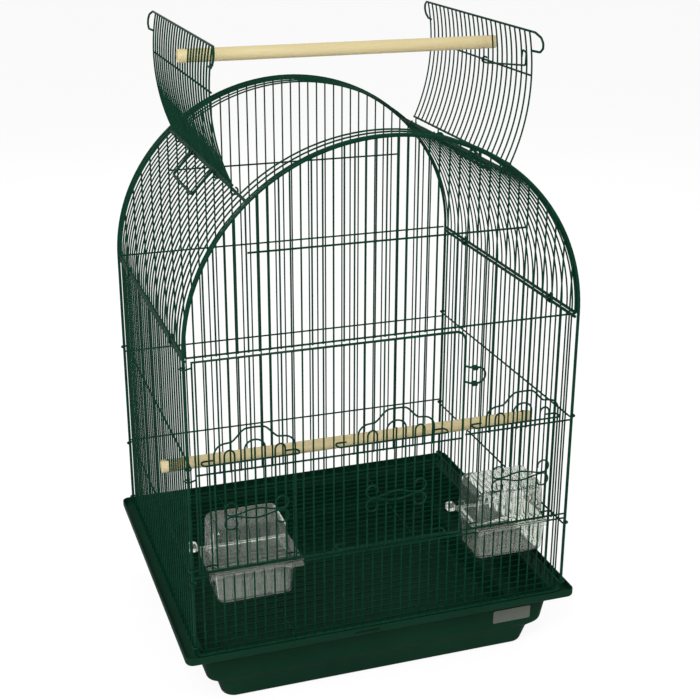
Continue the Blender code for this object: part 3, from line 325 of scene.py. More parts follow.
def end_material(tree, colour, roughness, normal, constants=None):
    """Gives the surface its colour, roughness, dents and constant values."""
    skin = tree.nodes["Principled BSDF"]
    tree.links.new(colour, skin.inputs["Base Color"])
    tree.links.new(roughness.outputs[0], skin.inputs["Roughness"])
    tree.links.new(normal.outputs[0], skin.inputs["Normal"])
    for name, value in (constants or {}).items():
        skin.inputs[name].default_value = value


tub_plastic, tree, spot = start_material("tub_plastic")
green = tint(tree, noise(tree, spot, 14.0, 4.0), (0.0018, 0.0155, 0.0082), (0.0040, 0.0285, 0.0145))
facing = add_node(tree, "ShaderNodeNewGeometry").outputs["Normal"]
upwards = add_node(tree, "ShaderNodeSeparateXYZ", {0: facing}).outputs["Z"]
# Up-facing surfaces are painted paler grey-green in cloudy patches. This is painted light on the tops of the
# moulding, where more light falls.
level_part = ramp(tree, upwards, 0.0, 0.03, 0.6, 1.0)
painted_top_light = reckon(tree, "MULTIPLY", level_part, noise(tree, spot, 120.0, 5.0))
top_lit_green = tint(tree, painted_top_light, green, (0.09, 0.11, 0.09))
scuffs = noise(tree, stretched(tree, spot, (30.0, 30.0, 240.0)), 2.0, 5.0)
dullness = ramp(tree, scuffs, 0.34, 0.50, 0.3, 0.7)
grit = bumps(tree, noise(tree, spot, 1400.0, 2.0), 0.10, 0.0002)
waves = bumps(tree, noise(tree, spot, 22.0, 1.0), 0.25, 0.0015, Normal=grit)
end_material(tree, top_lit_green, dullness, waves, {"Specular IOR Level": 0.04})

slot_shape = bmesh.new()
add_block(slot_shape, Vector(SLOT_LOW), Vector(SLOT_HIGH))
slot_cutter = add_object("slot_cutter", as_mesh("slot_cutter", slot_shape))

tub_shape = bmesh.new()
loft(tub_shape, [
    plan_ring(-half_x, half_x, -half_y, half_y, corner, z, 10)
    for half_x, half_y, corner, z in soft_edges(TUB_EDGES)
])
for x in (-FOOT_X, FOOT_X):
    for y in (-FOOT_Y, FOOT_Y):
        loft(tub_shape, [
            arc((x, y, z), FOOT_RADIUS * share, 0, 345, 23, ALONG_X, ALONG_Y) for share, z in FOOT_RINGS
        ])
tub = add_piece(
    "tub", tub_shape, tub_plastic, 32.0,
    [("BOOLEAN", {"operation": "DIFFERENCE", "solver": "EXACT", "object": slot_cutter, "use_self": True})],
)
bpy.data.objects.remove(slot_cutter)
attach(tub, "tub")
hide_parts("base_tub")

# Name plate
# A thin bare plate with a raised border, glued to the leaning wall of the tub
# at the front right. It is satin grey plastic.

PLATE_X = (0.1450, 0.1950)
PLATE_Z = (0.0415, 0.0595)
PLATE_CORNER = 0.0020
PLATE_THICK = 0.0006
PLATE_GAP = 0.0003
# Inset and share of the thickness of each step, from the back to the sunk face
PLATE_STEPS = ((0.0, 0.0), (0.0, 0.8), (0.0002, 1.0), (0.0011, 1.0), (0.0014, 0.70), (0.0017, 0.70))
# Depth and height of the leaning wall's lower end, and how far it leans out on its way up
WALL_DEPTH = 0.1870
WALL_Z = 0.0340
WALL_LEAN = 0.0020 / 0.0368


def drawn_in(sides, inset, *rest):
    """The four sides of a ring, moved inwards, and what follows them in a call of plan_ring."""
    low_x, high_x, low_y, high_y = sides
    return (low_x + inset, high_x - inset, low_y + inset, high_y - inset, *rest)


plate_plastic, tree, spot = start_material("plate_plastic")
streaks = noise(tree, stretched(tree, spot, (60.0, 400.0, 1500.0)), 1.5, 4.0)
grey = tint(tree, streaks, (0.055, 0.066, 0.050), (0.095, 0.108, 0.084))
end_material(tree, grey, ramp(tree, streaks, 0.30, 0.48), bumps(tree, streaks, 0.15, 0.0002))

plate_rings = []
for inset, proud in PLATE_STEPS:
    ring = []
    for point in plan_ring(*drawn_in(PLATE_X + PLATE_Z, inset), PLATE_CORNER - inset, 0, 5):
        wall_y = -(WALL_DEPTH + WALL_LEAN * (point.y - WALL_Z)) - PLATE_GAP
        ring.append(Vector((point.x, wall_y - PLATE_THICK * proud, point.y)))
    plate_rings.append(ring)
plate_shape = bmesh.new()
loft(plate_shape, plate_rings)
plate = add_piece("bare_plate", plate_shape, plate_plastic, 30.0)
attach(plate, "tub")
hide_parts("name_plate")

# Floor grate
# Round steel wires laid across two edge wires and two rods and spot welded to
# them, then dipped in the same dark green coating as the whole cage.

GRATE_Z = 0.07863
GRATE_EDGE_X = 0.2209
GRATE_PITCH = 0.0125067
GRATE_WIRES = 31
GRATE_ROD_X = 0.11
GRATE_ROD_REACH = 0.1855
GRATE_ROD_Z = GRATE_Z - 0.0017
GRATE_ROD_WELD = 0.0012
GRATE_ROD_WELD_Z = GRATE_Z - 0.0009
GRATE_WELD = 0.0016
GRATE_WAVER = (0.0, 0.00022, 0.00005)
PAST_LAST_WIRE = 0.0012
BAR_WIRE = 0.0010
EDGE_WIRE = 0.0013
BEND_STEPS = 5
LEAST_BEND = 0.00001
NOWHERE = (0.0, 0.0, 0.0)
# Inputs that every tree has, with the values they start from
WIRE_INPUTS = {"radius": 0.001, "sides": 8, "count": 1, "waver": NOWHERE, "seed": 1, "coating": None}

green_coating, tree, spot = start_material("green_coating")
cloud = noise(tree, spot, 38.0, 4.0, Roughness=0.6)
green = tint(tree, cloud, (0.0005, 0.0130, 0.0068), (0.0016, 0.0370, 0.0180))
rubs = noise(tree, spot, 210.0, 5.0, Roughness=0.7)
worn = tint(tree, ramp(tree, rubs, 0.0, 0.45, 0.62, 0.72), green, (0.010, 0.085, 0.052))
dullness = ramp(tree, rubs, 0.22, 0.40, 0.3, 0.7)
peel = bumps(tree, noise(tree, spot, 900.0, 2.0), 0.30, 0.0002)
end_material(tree, worn, dullness, peel, {"Specular IOR Level": 0.07})


def start_tree(name, **inputs):
    """A Geometry Nodes tree with named inputs. Returns it and its input node's outputs."""
    tree = bpy.data.node_groups.new(name, "GeometryNodeTree")
    tree.interface.new_socket("path", in_out="INPUT", socket_type="NodeSocketGeometry")
    for label, value in {**WIRE_INPUTS, **inputs}.items():
        kind = {float: "Float", int: "Int", tuple: "Vector"}.get(type(value), "Material")
        socket = tree.interface.new_socket(label, in_out="INPUT", socket_type="NodeSocket" + kind)
        if value is not None:
            socket.default_value = value
    tree.interface.new_socket("wires", in_out="OUTPUT", socket_type="NodeSocketGeometry")
    return tree, tree.nodes.new("NodeGroupInput").outputs


def end_tree(tree, wires, given):
    """Ends a tree: round sides shaded smooth and flat ends left flat, in the coating."""
    corners = add_node(tree, "GeometryNodeInputMeshFaceNeighbors").outputs["Vertex Count"]
    side = add_node(tree, "FunctionNodeCompare", {2: corners, 3: 5}, data_type="INT", operation="LESS_THAN")
    real = add_node(tree, "GeometryNodeRealizeInstances", {"Geometry": wires})
    shaded = add_node(tree, "GeometryNodeSetShadeSmooth", {"Geometry": real, "Shade Smooth": side})
    coated = add_node(tree, "GeometryNodeSetMaterial", {"Geometry": shaded, "Material": given["coating"]})
    add_node(tree, "NodeGroupOutput", {"wires": coated})
    return tree


def tube_along(tree, curve, given):
    """Sweeps a round section along a curve."""
    section = add_node(
        tree, "GeometryNodeCurvePrimitiveCircle", {"Resolution": given["sides"], "Radius": given["radius"]}
    )
    swept = {"Curve": curve, "Profile Curve": section, "Fill Caps": True}
    return add_node(tree, "GeometryNodeCurveToMesh", swept)


def line_of_points(tree, count, first, step):
    """Places in a row, a step apart."""
    return add_node(tree, "GeometryNodeMeshLine", {"Count": count, "Start Location": first, "Offset": step})


def copies(tree, places, copied, **more):
    """The same thing at each of many places."""
    return add_node(tree, "GeometryNodeInstanceOnPoints", {"Points": places, "Instance": copied, **more})


def wire_row(tree, curve, first, step, given, **more):
    """Ends a tree in a row of equal wires, each moved a little at random, as welded wires never
    stand quite true."""
    most = given["waver"]
    least = add_node(tree, "ShaderNodeVectorMath", {0: most, 1: (-1, -1, -1)}, operation="MULTIPLY")
    offset = add_node(
        tree, "FunctionNodeRandomValue", {0: least, 1: most, "Seed": given["seed"]}, data_type="FLOAT_VECTOR"
    )
    places = line_of_points(tree, given["count"], first, step)
    shaken = add_node(tree, "GeometryNodeSetPosition", {"Geometry": places, "Offset": offset})
    return end_tree(tree, copies(tree, shaken, tube_along(tree, curve, given), **more), given)


def bent_wire_tree():
    """A wire along the path, with its corners bent to a radius."""
    tree, given = start_tree("bent_wire", bend=0.0)
    line = add_node(tree, "GeometryNodeMeshToCurve", {"Mesh": given["path"]})
    bends = {"Curve": line, "Count": BEND_STEPS, "Radius": given["bend"], "Limit Radius": True}
    bent = add_node(tree, "GeometryNodeFilletCurve", bends, mode="POLY")
    has_bend = add_node(
        tree, "FunctionNodeCompare", {0: given["bend"], 1: LEAST_BEND}, operation="GREATER_THAN"
    )
    chosen = add_node(
        tree, "GeometryNodeSwitch", {"Switch": has_bend, "False": line, "True": bent}, input_type="GEOMETRY"
    )
    return end_tree(tree, tube_along(tree, chosen, given), given)


def straight_row_tree():
    """The wire of the path again and again, a step apart."""
    tree, given = start_tree("straight_row", first=NOWHERE, step=NOWHERE)
    line = add_node(tree, "GeometryNodeMeshToCurve", {"Mesh": given["path"]})
    return wire_row(tree, line, given["first"], given["step"], given)


def weld_tree():
    """Small swellings of weld and coating where two rows of wires cross."""
    tree, given = start_tree("weld_spots", first=NOWHERE, step=NOWHERE, rows=1, row_step=NOWHERE)
    one_row = line_of_points(tree, given["count"], given["first"], given["step"])
    rows = copies(tree, line_of_points(tree, given["rows"], NOWHERE, given["row_step"]), one_row)
    places = add_node(tree, "GeometryNodeRealizeInstances", {"Geometry": rows})
    round_shape = {"Segments": 6, "Rings": 4, "Radius": given["radius"]}
    bead = add_node(tree, "GeometryNodeMeshUVSphere", round_shape)
    return end_tree(tree, copies(tree, places, bead), given)


def grow(tree, lines=(), **values):
    """Runs a tree on lines of points and returns the finished mesh. A line that ends where it
    starts is closed."""
    path = bmesh.new()
    for line in lines:
        closed = (Vector(line[0]) - Vector(line[-1])).length < 1e-7
        points = [path.verts.new(point) for point in (line[:-1] if closed else line)]
        for start, end in zip(points, points[1:] + points[:closed]):
            path.edges.new((start, end))
    holder = add_object("wire_path", as_mesh("wire_path", path))
    modifier = holder.modifiers.new("Wires", "NODES")
    modifier.node_group = tree
    values["coating"] = green_coating
    for socket in tree.interface.items_tree:
        if socket.name in values:
            modifier[socket.identifier] = values[socket.name]
    holder.data.update()
    return applied(holder)


def wires(lines, radius, sides=10, bend=0.0):
    """Wires along lines of points."""
    return grow(bent_wire, lines, radius=radius, sides=sides, bend=bend)


def welds(first, count, step, radius, rows=1, row_step=NOWHERE):
    """Weld spots a step apart, in one row or more."""
    return grow(
        weld_spots, first=first, count=count, step=step, radius=radius, rows=rows, row_step=row_step
    )


def lengthwise(x, z, low_y, high_y):
    """The two ends of a wire that runs from front to back."""
    return [(x, low_y, z), (x, high_y, z)]


def join_wires(name, *meshes):
    """Joins finished meshes of coated wire into one piece."""
    whole = bmesh.new()
    for mesh in meshes:
        whole.from_mesh(mesh)
    piece = add_object(name, as_mesh(name, whole))
    piece.data.materials.append(green_coating)
    return piece


bent_wire = bent_wire_tree()
straight_row = straight_row_tree()
weld_spots = weld_tree()

wire_y = GRATE_PITCH * (GRATE_WIRES - 1) / 2
edge_y = wire_y + PAST_LAST_WIRE
grate_step = (0.0, GRATE_PITCH, 0.0)
grate = join_wires(
    "floor_grate_wires",
    grow(
        straight_row, [[(-GRATE_EDGE_X, 0, GRATE_Z), (GRATE_EDGE_X, 0, GRATE_Z)]],
        radius=BAR_WIRE, sides=8, count=GRATE_WIRES, first=(0.0, -wire_y, 0.0), step=grate_step,
        waver=GRATE_WAVER, seed=3,
    ),
    wires([lengthwise(x, GRATE_Z, -edge_y, edge_y) for x in (-GRATE_EDGE_X, GRATE_EDGE_X)], EDGE_WIRE),
    welds(
        (-GRATE_EDGE_X, -wire_y, GRATE_Z), GRATE_WIRES, grate_step, GRATE_WELD,
        2, (2 * GRATE_EDGE_X, 0.0, 0.0),
    ),
)
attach(grate, "floor_grate")
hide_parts("floor_grate")

grate_rods = join_wires(
    "floor_grate_rods",
    wires(
        [lengthwise(x, GRATE_ROD_Z, -GRATE_ROD_REACH, GRATE_ROD_REACH) for x in (-GRATE_ROD_X, GRATE_ROD_X)],
        BAR_WIRE,
    ),
    welds(
        (-GRATE_ROD_X, GRATE_PITCH - wire_y, GRATE_ROD_WELD_Z), GRATE_WIRES - 2, grate_step,
        GRATE_ROD_WELD, 2, (2 * GRATE_ROD_X, 0.0, 0.0),
    ),
)
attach(grate_rods, "floor_grate")
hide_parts("grate_rod_1", "grate_rod_2")

# Front and back frames
# A thick steel wire bent to a bottom, two posts and an arch, with thin upright bars welded inside it.
# The front leaves room for the main door and for the right feeder door.

HALF_WIDTH = 0.230
HALF_DEPTH = 0.198
FRAME_BOTTOM_Z = 0.07895
FRAME_BEND = 0.006
SHOULDER_Z = 0.442
ARCH_RISE = 0.221
ARCH_STEPS = 80
FRAME_WIRE = 0.0018
FRAME_WELD = 0.0017
FRAME_WELD_Z = FRAME_BOTTOM_Z + 0.0006
BAR_PITCH = 0.460 / 39
FRAME_BARS = 38
FIRST_BAR_X = -18.5 * BAR_PITCH
BAR_STEP = (BAR_PITCH, 0.0, 0.0)
BAR_WAVER = (0.00020, 0.0, 0.0)
# First and last bar, counted from the middle, their low end, the height where
# their top line springs, how far it rises in an arch, and their random seed
BAR_GROUPS = {
    "front": (-HALF_DEPTH, (
        (-18.5, 7.5, FRAME_BOTTOM_Z, 0.1800, 0.0, 11),
        (-18.5, 7.5, 0.4410, SHOULDER_Z, ARCH_RISE, 12),
        (8.5, 9.5, FRAME_BOTTOM_Z, SHOULDER_Z, ARCH_RISE, 13),
        (10.5, 16.5, FRAME_BOTTOM_Z, 0.1800, 0.0, 14),
        (10.5, 16.5, 0.3080, SHOULDER_Z, ARCH_RISE, 15),
        (17.5, 18.5, FRAME_BOTTOM_Z, SHOULDER_Z, ARCH_RISE, 16),
    )),
    "back": (HALF_DEPTH, ((-18.5, 18.5, FRAME_BOTTOM_Z, SHOULDER_Z, ARCH_RISE, 17),)),
}


def arched_bars_tree():
    """Upright bars in a row that end on the arch above them, or at a level top where the
    rise is 0."""
    tree, given = start_tree(
        "arched_bars", first_x=0.0, pitch=0.0, wall_y=0.0, low_z=0.0, spring_z=0.0, rise=0.0, half_width=1.0
    )
    start = add_node(
        tree, "ShaderNodeCombineXYZ", {"X": given["first_x"], "Y": given["wall_y"], "Z": given["low_z"]}
    )
    step = add_node(tree, "ShaderNodeCombineXYZ", {"X": given["pitch"]})
    x = add_node(tree, "ShaderNodeSeparateXYZ", {0: add_node(tree, "GeometryNodeInputPosition")})
    share = reckon(tree, "DIVIDE", x, given["half_width"])
    square = reckon(tree, "SUBTRACT", 1.0, reckon(tree, "MULTIPLY", share, share))
    arch = reckon(tree, "POWER", reckon(tree, "MAXIMUM", square), 0.5)
    top = reckon(tree, "ADD", given["spring_z"], reckon(tree, "MULTIPLY", given["rise"], arch))
    height = reckon(tree, "SUBTRACT", top, given["low_z"])
    scale = add_node(tree, "ShaderNodeCombineXYZ", {"X": 1.0, "Y": 1.0, "Z": height})
    upright = add_node(tree, "GeometryNodeCurvePrimitiveLine", {"Start": NOWHERE, "End": ALONG_Z})
    return wire_row(tree, upright, start, step, given, Scale=scale)


def frame_outline(y):
    """The bent frame wire, from the lower left round by the right and over the arch."""
    points = arc((-HALF_WIDTH + FRAME_BEND, y, FRAME_BOTTOM_Z + FRAME_BEND), FRAME_BEND, 180, 270, 6)
    points += arc((HALF_WIDTH - FRAME_BEND, y, FRAME_BOTTOM_Z + FRAME_BEND), FRAME_BEND, 270, 360, 6)
    for step in range(ARCH_STEPS + 1):
        angle = math.pi * step / ARCH_STEPS
        points.append(Vector((HALF_WIDTH * math.cos(angle), y, SHOULDER_Z + ARCH_RISE * math.sin(angle))))
    return points + [points[0]]


arched_bars = arched_bars_tree()


def bar_group(y, first, last, low, spring, rise, seed):
    """The bars from one place to another, counted in bars from the middle."""
    return grow(
        arched_bars, radius=BAR_WIRE, sides=8, count=round(last - first) + 1, first_x=first * BAR_PITCH,
        pitch=BAR_PITCH, wall_y=y, low_z=low, spring_z=spring, rise=rise, half_width=HALF_WIDTH,
        waver=BAR_WAVER, seed=seed,
    )


for end_name, (y, groups) in BAR_GROUPS.items():
    whole_frame = join_wires(
        end_name + "_frame_wires",
        wires([frame_outline(y)], FRAME_WIRE, 12),
        *[bar_group(y, *group) for group in groups],
        welds((FIRST_BAR_X, y, FRAME_WELD_Z), FRAME_BARS, BAR_STEP, FRAME_WELD),
    )
    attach(whole_frame, "cage_frame")
    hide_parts(end_name + "_panel")

# Cross rods of the front and back
# Level wires welded along the inner side of the upright bars, from post to
# post, with a shorter one that stiffens each arch.

ROD_STEP = 0.0017
ROD_WIRE = 0.0011
ROD_WELD = 0.00125
FRONT_ROD_Y = -HALF_DEPTH + ROD_STEP
BACK_ROD_Y = HALF_DEPTH - ROD_STEP
# Left end, right end, depth and height of each rod
CROSS_RODS = (
    (-0.2265, 0.2265, FRONT_ROD_Y, 0.442),
    (-0.2285, 0.2285, FRONT_ROD_Y, 0.179),
    (0.0950, 0.2285, FRONT_ROD_Y, 0.309),
    (0.0950, 0.2285, FRONT_ROD_Y, 0.185),
    (-0.2265, 0.2265, BACK_ROD_Y, 0.442),
    (-0.2285, 0.2285, BACK_ROD_Y, 0.309),
    (-0.2285, 0.2285, BACK_ROD_Y, 0.179),
    (-0.1575, 0.1575, FRONT_ROD_Y, 0.550),
    (-0.1575, 0.1575, BACK_ROD_Y, 0.550),
)

rod_meshes = [wires([[(low_x, y, z), (high_x, y, z)] for low_x, high_x, y, z in CROSS_RODS], ROD_WIRE)]
for low_x, high_x, y, z in CROSS_RODS:
    first = math.ceil(low_x / BAR_PITCH - 0.5) + 0.5
    last = math.floor(high_x / BAR_PITCH - 0.5) + 0.5
    start = (first * BAR_PITCH, y + math.copysign(ROD_STEP / 2, y), z)
    rod_meshes.append(welds(start, round(last - first) + 1, BAR_STEP, ROD_WELD))
cross_rods = join_wires("cross_rod_wires", *rod_meshes)
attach(cross_rods, "cage_frame")
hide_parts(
    "front_rod_shoulder", "front_rod_low", "front_rod_middle", "front_rod_sill",
    "front_stiffener", "back_rod_shoulder", "back_rod_middle", "back_rod_low", "back_stiffener",
)

# Side panels
# Thirty upright bars hung from a thick top wire. Three rods cross them on the
# inside, and each rod's ends are hooked round the corner posts.

SIDES = (("left", -1), ("right", 1))
SIDE_X = 0.22838
SIDE_BAR_PITCH = 0.396 / 31
SIDE_BARS = 30
SIDE_LOW_Z = 0.0776
SIDE_TOP_Z = 0.437
SIDE_REACH = 0.1934
SIDE_ROD_HEIGHTS = (0.092, 0.174, 0.315)
SIDE_WELD = 0.0016
HOOK_RADIUS = 0.003316
ROD_X = HALF_WIDTH - HOOK_RADIUS
SIDE_STEP = (0.0, SIDE_BAR_PITCH, 0.0)
SIDE_WAVER = (0.0, 0.00022, 0.0)


def bar_y(number):
    """Depth of a side bar or hoop, counted from the front."""
    return (number - 15.5) * SIDE_BAR_PITCH


for side_name, side in SIDES:
    panel = join_wires(
        "side_wires_" + side_name,
        grow(
            straight_row, [[(side * SIDE_X, 0, SIDE_LOW_Z), (side * SIDE_X, 0, SIDE_TOP_Z)]],
            radius=BAR_WIRE, sides=8, count=SIDE_BARS, first=(0.0, bar_y(1), 0.0), step=SIDE_STEP,
            waver=SIDE_WAVER, seed=21 + side,
        ),
        wires([lengthwise(side * SIDE_X, SIDE_TOP_Z, -SIDE_REACH, SIDE_REACH)], FRAME_WIRE, 12),
    )
    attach(panel, "cage_frame")
    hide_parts("side_panel_" + side_name)

    rods = []
    for z in SIDE_ROD_HEIGHTS:
        hooks = []
        for end in (-1, 1):
            post = (side * HALF_WIDTH, end * HALF_DEPTH, z)
            hooks.append(arc(post, HOOK_RADIUS, 0, 232, 14, (-side, 0, 0), (0, end, 0)))
        rods.append(hooks[0][::-1] + hooks[1])
    weld_x = side * (ROD_X + ROD_STEP / 2)
    side_rods = join_wires(
        "side_rods_" + side_name,
        wires(rods, ROD_WIRE),
        *[welds((weld_x, bar_y(1), z), SIDE_BARS, SIDE_STEP, SIDE_WELD) for z in SIDE_ROD_HEIGHTS],
    )
    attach(side_rods, "cage_frame")
    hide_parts(*[f"side_rod_{level}_{side_name}" for level in ("low", "middle", "high")])

# Vaulted roof
# Hoops of thin wire bent over the cage, whole at both ends and cut at the hinge rails between, so that
# the crown can open. Thick shoulder rails, hinge rails and end hoops carry them.

VAULT_RISE = 0.21938
HINGE_X = 0.156
HINGE_ANGLE = math.acos(HINGE_X / SIDE_X)
HINGE_Z = SHOULDER_Z + VAULT_RISE * math.sin(HINGE_ANGLE)
ROOF_END_Y = 0.1939
FULL_HOOPS = 3
CUT_HOOPS = SIDE_BARS - 2 * FULL_HOOPS
RAIL_WELD = 0.0021
HOOP_WAVER = (0.0, 0.0002, 0.0)
# Half the distance between the two rails of a pair, and their height
RAIL_PAIRS = ((SIDE_X, SHOULDER_Z), (HINGE_X, HINGE_Z))


def vault_wires_tree():
    """Wires bent to the vault between two angles, in a row along the cage, and turned about
    a hinge where they belong to a flap."""
    tree, given = start_tree(
        "vault_wires", points=24, first_angle=0.0, last_angle=3.14, side=1.0, half_width=0.2, rise=0.2,
        spring_z=0.4, turn=0.0, pivot=NOWHERE, first_y=0.0, pitch=0.012,
    )
    spans = reckon(tree, "SUBTRACT", given["points"], 1.0)
    share = reckon(tree, "DIVIDE", add_node(tree, "GeometryNodeInputIndex"), spans)
    sweep = reckon(tree, "SUBTRACT", given["last_angle"], given["first_angle"])
    angle = reckon(tree, "ADD", given["first_angle"], reckon(tree, "MULTIPLY", sweep, share))
    reach = reckon(tree, "MULTIPLY", given["half_width"], given["side"])
    x = reckon(tree, "MULTIPLY", reach, reckon(tree, "COSINE", angle))
    height = reckon(tree, "MULTIPLY", given["rise"], reckon(tree, "SINE", angle))
    z = reckon(tree, "ADD", given["spring_z"], height)
    place = add_node(tree, "ShaderNodeCombineXYZ", {"X": x, "Z": z})
    turned = add_node(
        tree, "ShaderNodeVectorRotate",
        {"Vector": place, "Center": given["pivot"], "Axis": ALONG_Y, "Angle": given["turn"]},
        rotation_type="AXIS_ANGLE",
    )
    blank = line_of_points(tree, given["points"], NOWHERE, (0.0, 0.0, 0.001))
    bent = add_node(tree, "GeometryNodeSetPosition", {"Geometry": blank, "Position": turned})
    curve = add_node(tree, "GeometryNodeMeshToCurve", {"Mesh": bent})
    first = add_node(tree, "ShaderNodeCombineXYZ", {"Y": given["first_y"]})
    step = add_node(tree, "ShaderNodeCombineXYZ", {"Y": given["pitch"]})
    return wire_row(tree, curve, first, step, given)


vault_wires = vault_wires_tree()


def vault_group(
    first_y, count, start, end, points, side=1, radius=BAR_WIRE, turn=0.0, seed=1, waver=HOOP_WAVER
):
    """Vault wires, a side bar's pitch apart, between two angles up from the shoulder."""
    return grow(
        vault_wires, radius=radius, sides=8, points=points, first_angle=start, last_angle=end,
        side=float(side), half_width=SIDE_X, rise=VAULT_RISE, spring_z=SHOULDER_Z, turn=turn,
        pivot=(side * HINGE_X, 0.0, HINGE_Z), count=count, first_y=first_y, pitch=SIDE_BAR_PITCH,
        waver=waver, seed=seed,
    )


rails = []
for x, z in RAIL_PAIRS:
    rails += [lengthwise(side * x, z, -ROOF_END_Y, ROOF_END_Y) for side in (-1, 1)]
roof = join_wires(
    "roof_wires",
    vault_group(bar_y(1), FULL_HOOPS, 0.0, math.pi, 60, seed=31),
    vault_group(bar_y(SIDE_BARS + 1 - FULL_HOOPS), FULL_HOOPS, 0.0, math.pi, 60, seed=32),
    vault_group(bar_y(FULL_HOOPS + 1), CUT_HOOPS, 0.0, HINGE_ANGLE, 18, 1, seed=33),
    vault_group(bar_y(FULL_HOOPS + 1), CUT_HOOPS, 0.0, HINGE_ANGLE, 18, -1, seed=34),
    vault_group(-ROOF_END_Y, 1, 0.0, math.pi, 80, radius=FRAME_WIRE, waver=NOWHERE),
    vault_group(ROOF_END_Y, 1, 0.0, math.pi, 80, radius=FRAME_WIRE, waver=NOWHERE),
    wires(rails, FRAME_WIRE, 12),
    *[
        welds((-x, bar_y(1), z), SIDE_BARS, SIDE_STEP, RAIL_WELD, 2, (2 * x, 0.0, 0.0))
        for x, z in RAIL_PAIRS
    ],
)
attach(roof, "cage_frame")
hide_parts("roof_grille")

# Roof clips
# Short bands of coated sheet steel, pressed round the roof's shoulder rail and the side panel's top
# wire, two on each side, so that roof and walls hold together.

CLIP_Y = 0.12774
CLIP_LENGTH = 0.008
CLIP_INSIDE = 0.0022
CLIP_OUTSIDE = 0.0031
CLIP_EDGE = 0.00018
CLIP_TOP_Z = SHOULDER_Z + CLIP_OUTSIDE

clip_outline = [
    Vector((-CLIP_OUTSIDE, 0, CLIP_TOP_Z)),
    *arc((0, 0, SIDE_TOP_Z), CLIP_OUTSIDE, 180, 360, 12),
    Vector((CLIP_OUTSIDE, 0, CLIP_TOP_Z)),
    Vector((CLIP_INSIDE, 0, CLIP_TOP_Z)),
    *arc((0, 0, SIDE_TOP_Z), CLIP_INSIDE, 360, 180, 12),
    Vector((-CLIP_INSIDE, 0, CLIP_TOP_Z)),
]
for number, (side, y) in enumerate(((-1, -CLIP_Y), (-1, CLIP_Y), (1, -CLIP_Y), (1, CLIP_Y)), 1):
    clip_shape = bmesh.new()
    ends = [Vector((side * SIDE_X, y + end * CLIP_LENGTH / 2, 0)) for end in (-1, 1)]
    loft(clip_shape, [[point + end for point in clip_outline] for end in ends])
    clip = add_piece(
        f"roof_clip_band_{number}", clip_shape, green_coating, 40.0,
        [("BEVEL", {"width": CLIP_EDGE, "segments": 2, "limit_method": "ANGLE"})],
    )
    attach(clip, "cage_frame")
    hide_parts(f"roof_clip_{number}")

# Roof flaps
# The cut-out crown of the vault, in two halves that stand open. Each is a row of bars welded to a base
# wire, a cross rod and a tip wire with an ear at each end, and turns on four eyes round its hinge rail.

FLAP_OPEN = math.radians(75)
FLAP_TIP_X = 0.0139
FLAP_BASE_LIFT = 0.0085
FLAP_ROD_DROP = 0.047
FLAP_BARS = (4, 27)
FLAP_LEG_BAYS = (4, 10, 20, 26)
FLAP_EDGE_WIRE = 0.0013
PAST_LAST_BAR = 0.001
EAR_REACH = 0.0240
EAR_DROP = 0.021
EAR_BEND = 0.004
# Share of the ear's way up, share of its reach and lift of each bend of an ear
EAR_BENDS = (
    (0.0, 0.0, 0.0010), (0.0, 0.62, 0.0030), (0.225, 0.93, 0.0032),
    (0.5, 1.0, 0.0032), (0.775, 0.86, 0.0030), (1.0, 0.42, 0.0016),
)
EYE_RADIUS = 0.00391


def vault_square(angle):
    """The direction square to the vault's right half."""
    return Vector((math.cos(angle) / SIDE_X, 0, math.sin(angle) / VAULT_RISE)).normalized()


def vault_point(angle, lift=0.0):
    """A place on the vault's right half, as x and z, and raised square to it."""
    raised = vault_square(angle) * lift
    return SIDE_X * math.cos(angle) + raised.x, SHOULDER_Z + VAULT_RISE * math.sin(angle) + raised.z


def angle_along(start, distance):
    """The vault angle a distance along the vault from another angle."""
    step = math.copysign(math.radians(0.1), distance)
    angle = start
    left = abs(distance)
    while left > 0:
        left -= (Vector(vault_point(angle + step)) - Vector(vault_point(angle))).length
        angle += step
    return angle


def quarter_turned(direction):
    """A direction turned by a quarter about the length of the cage."""
    return Vector((direction.z, 0, -direction.x))


def opened(points, side):
    """Points of a closed flap, turned open about its hinge rail."""
    pivot = Vector((side * HINGE_X, 0, HINGE_Z))
    turn = Matrix.Rotation(side * FLAP_OPEN, 3, "Y")
    return [turn @ (Vector(point) - pivot) + pivot for point in points]


tip_angle = math.acos(FLAP_TIP_X / SIDE_X)
base_angle = angle_along(HINGE_ANGLE, FLAP_BASE_LIFT)
ear_angle = angle_along(tip_angle, -EAR_DROP)
rod_angle = angle_along(tip_angle, -FLAP_ROD_DROP)
first_y, last_y = [bar_y(number) for number in FLAP_BARS]
flap_ends = (first_y - PAST_LAST_BAR, last_y + PAST_LAST_BAR)
bar_count = FLAP_BARS[1] - FLAP_BARS[0] + 1

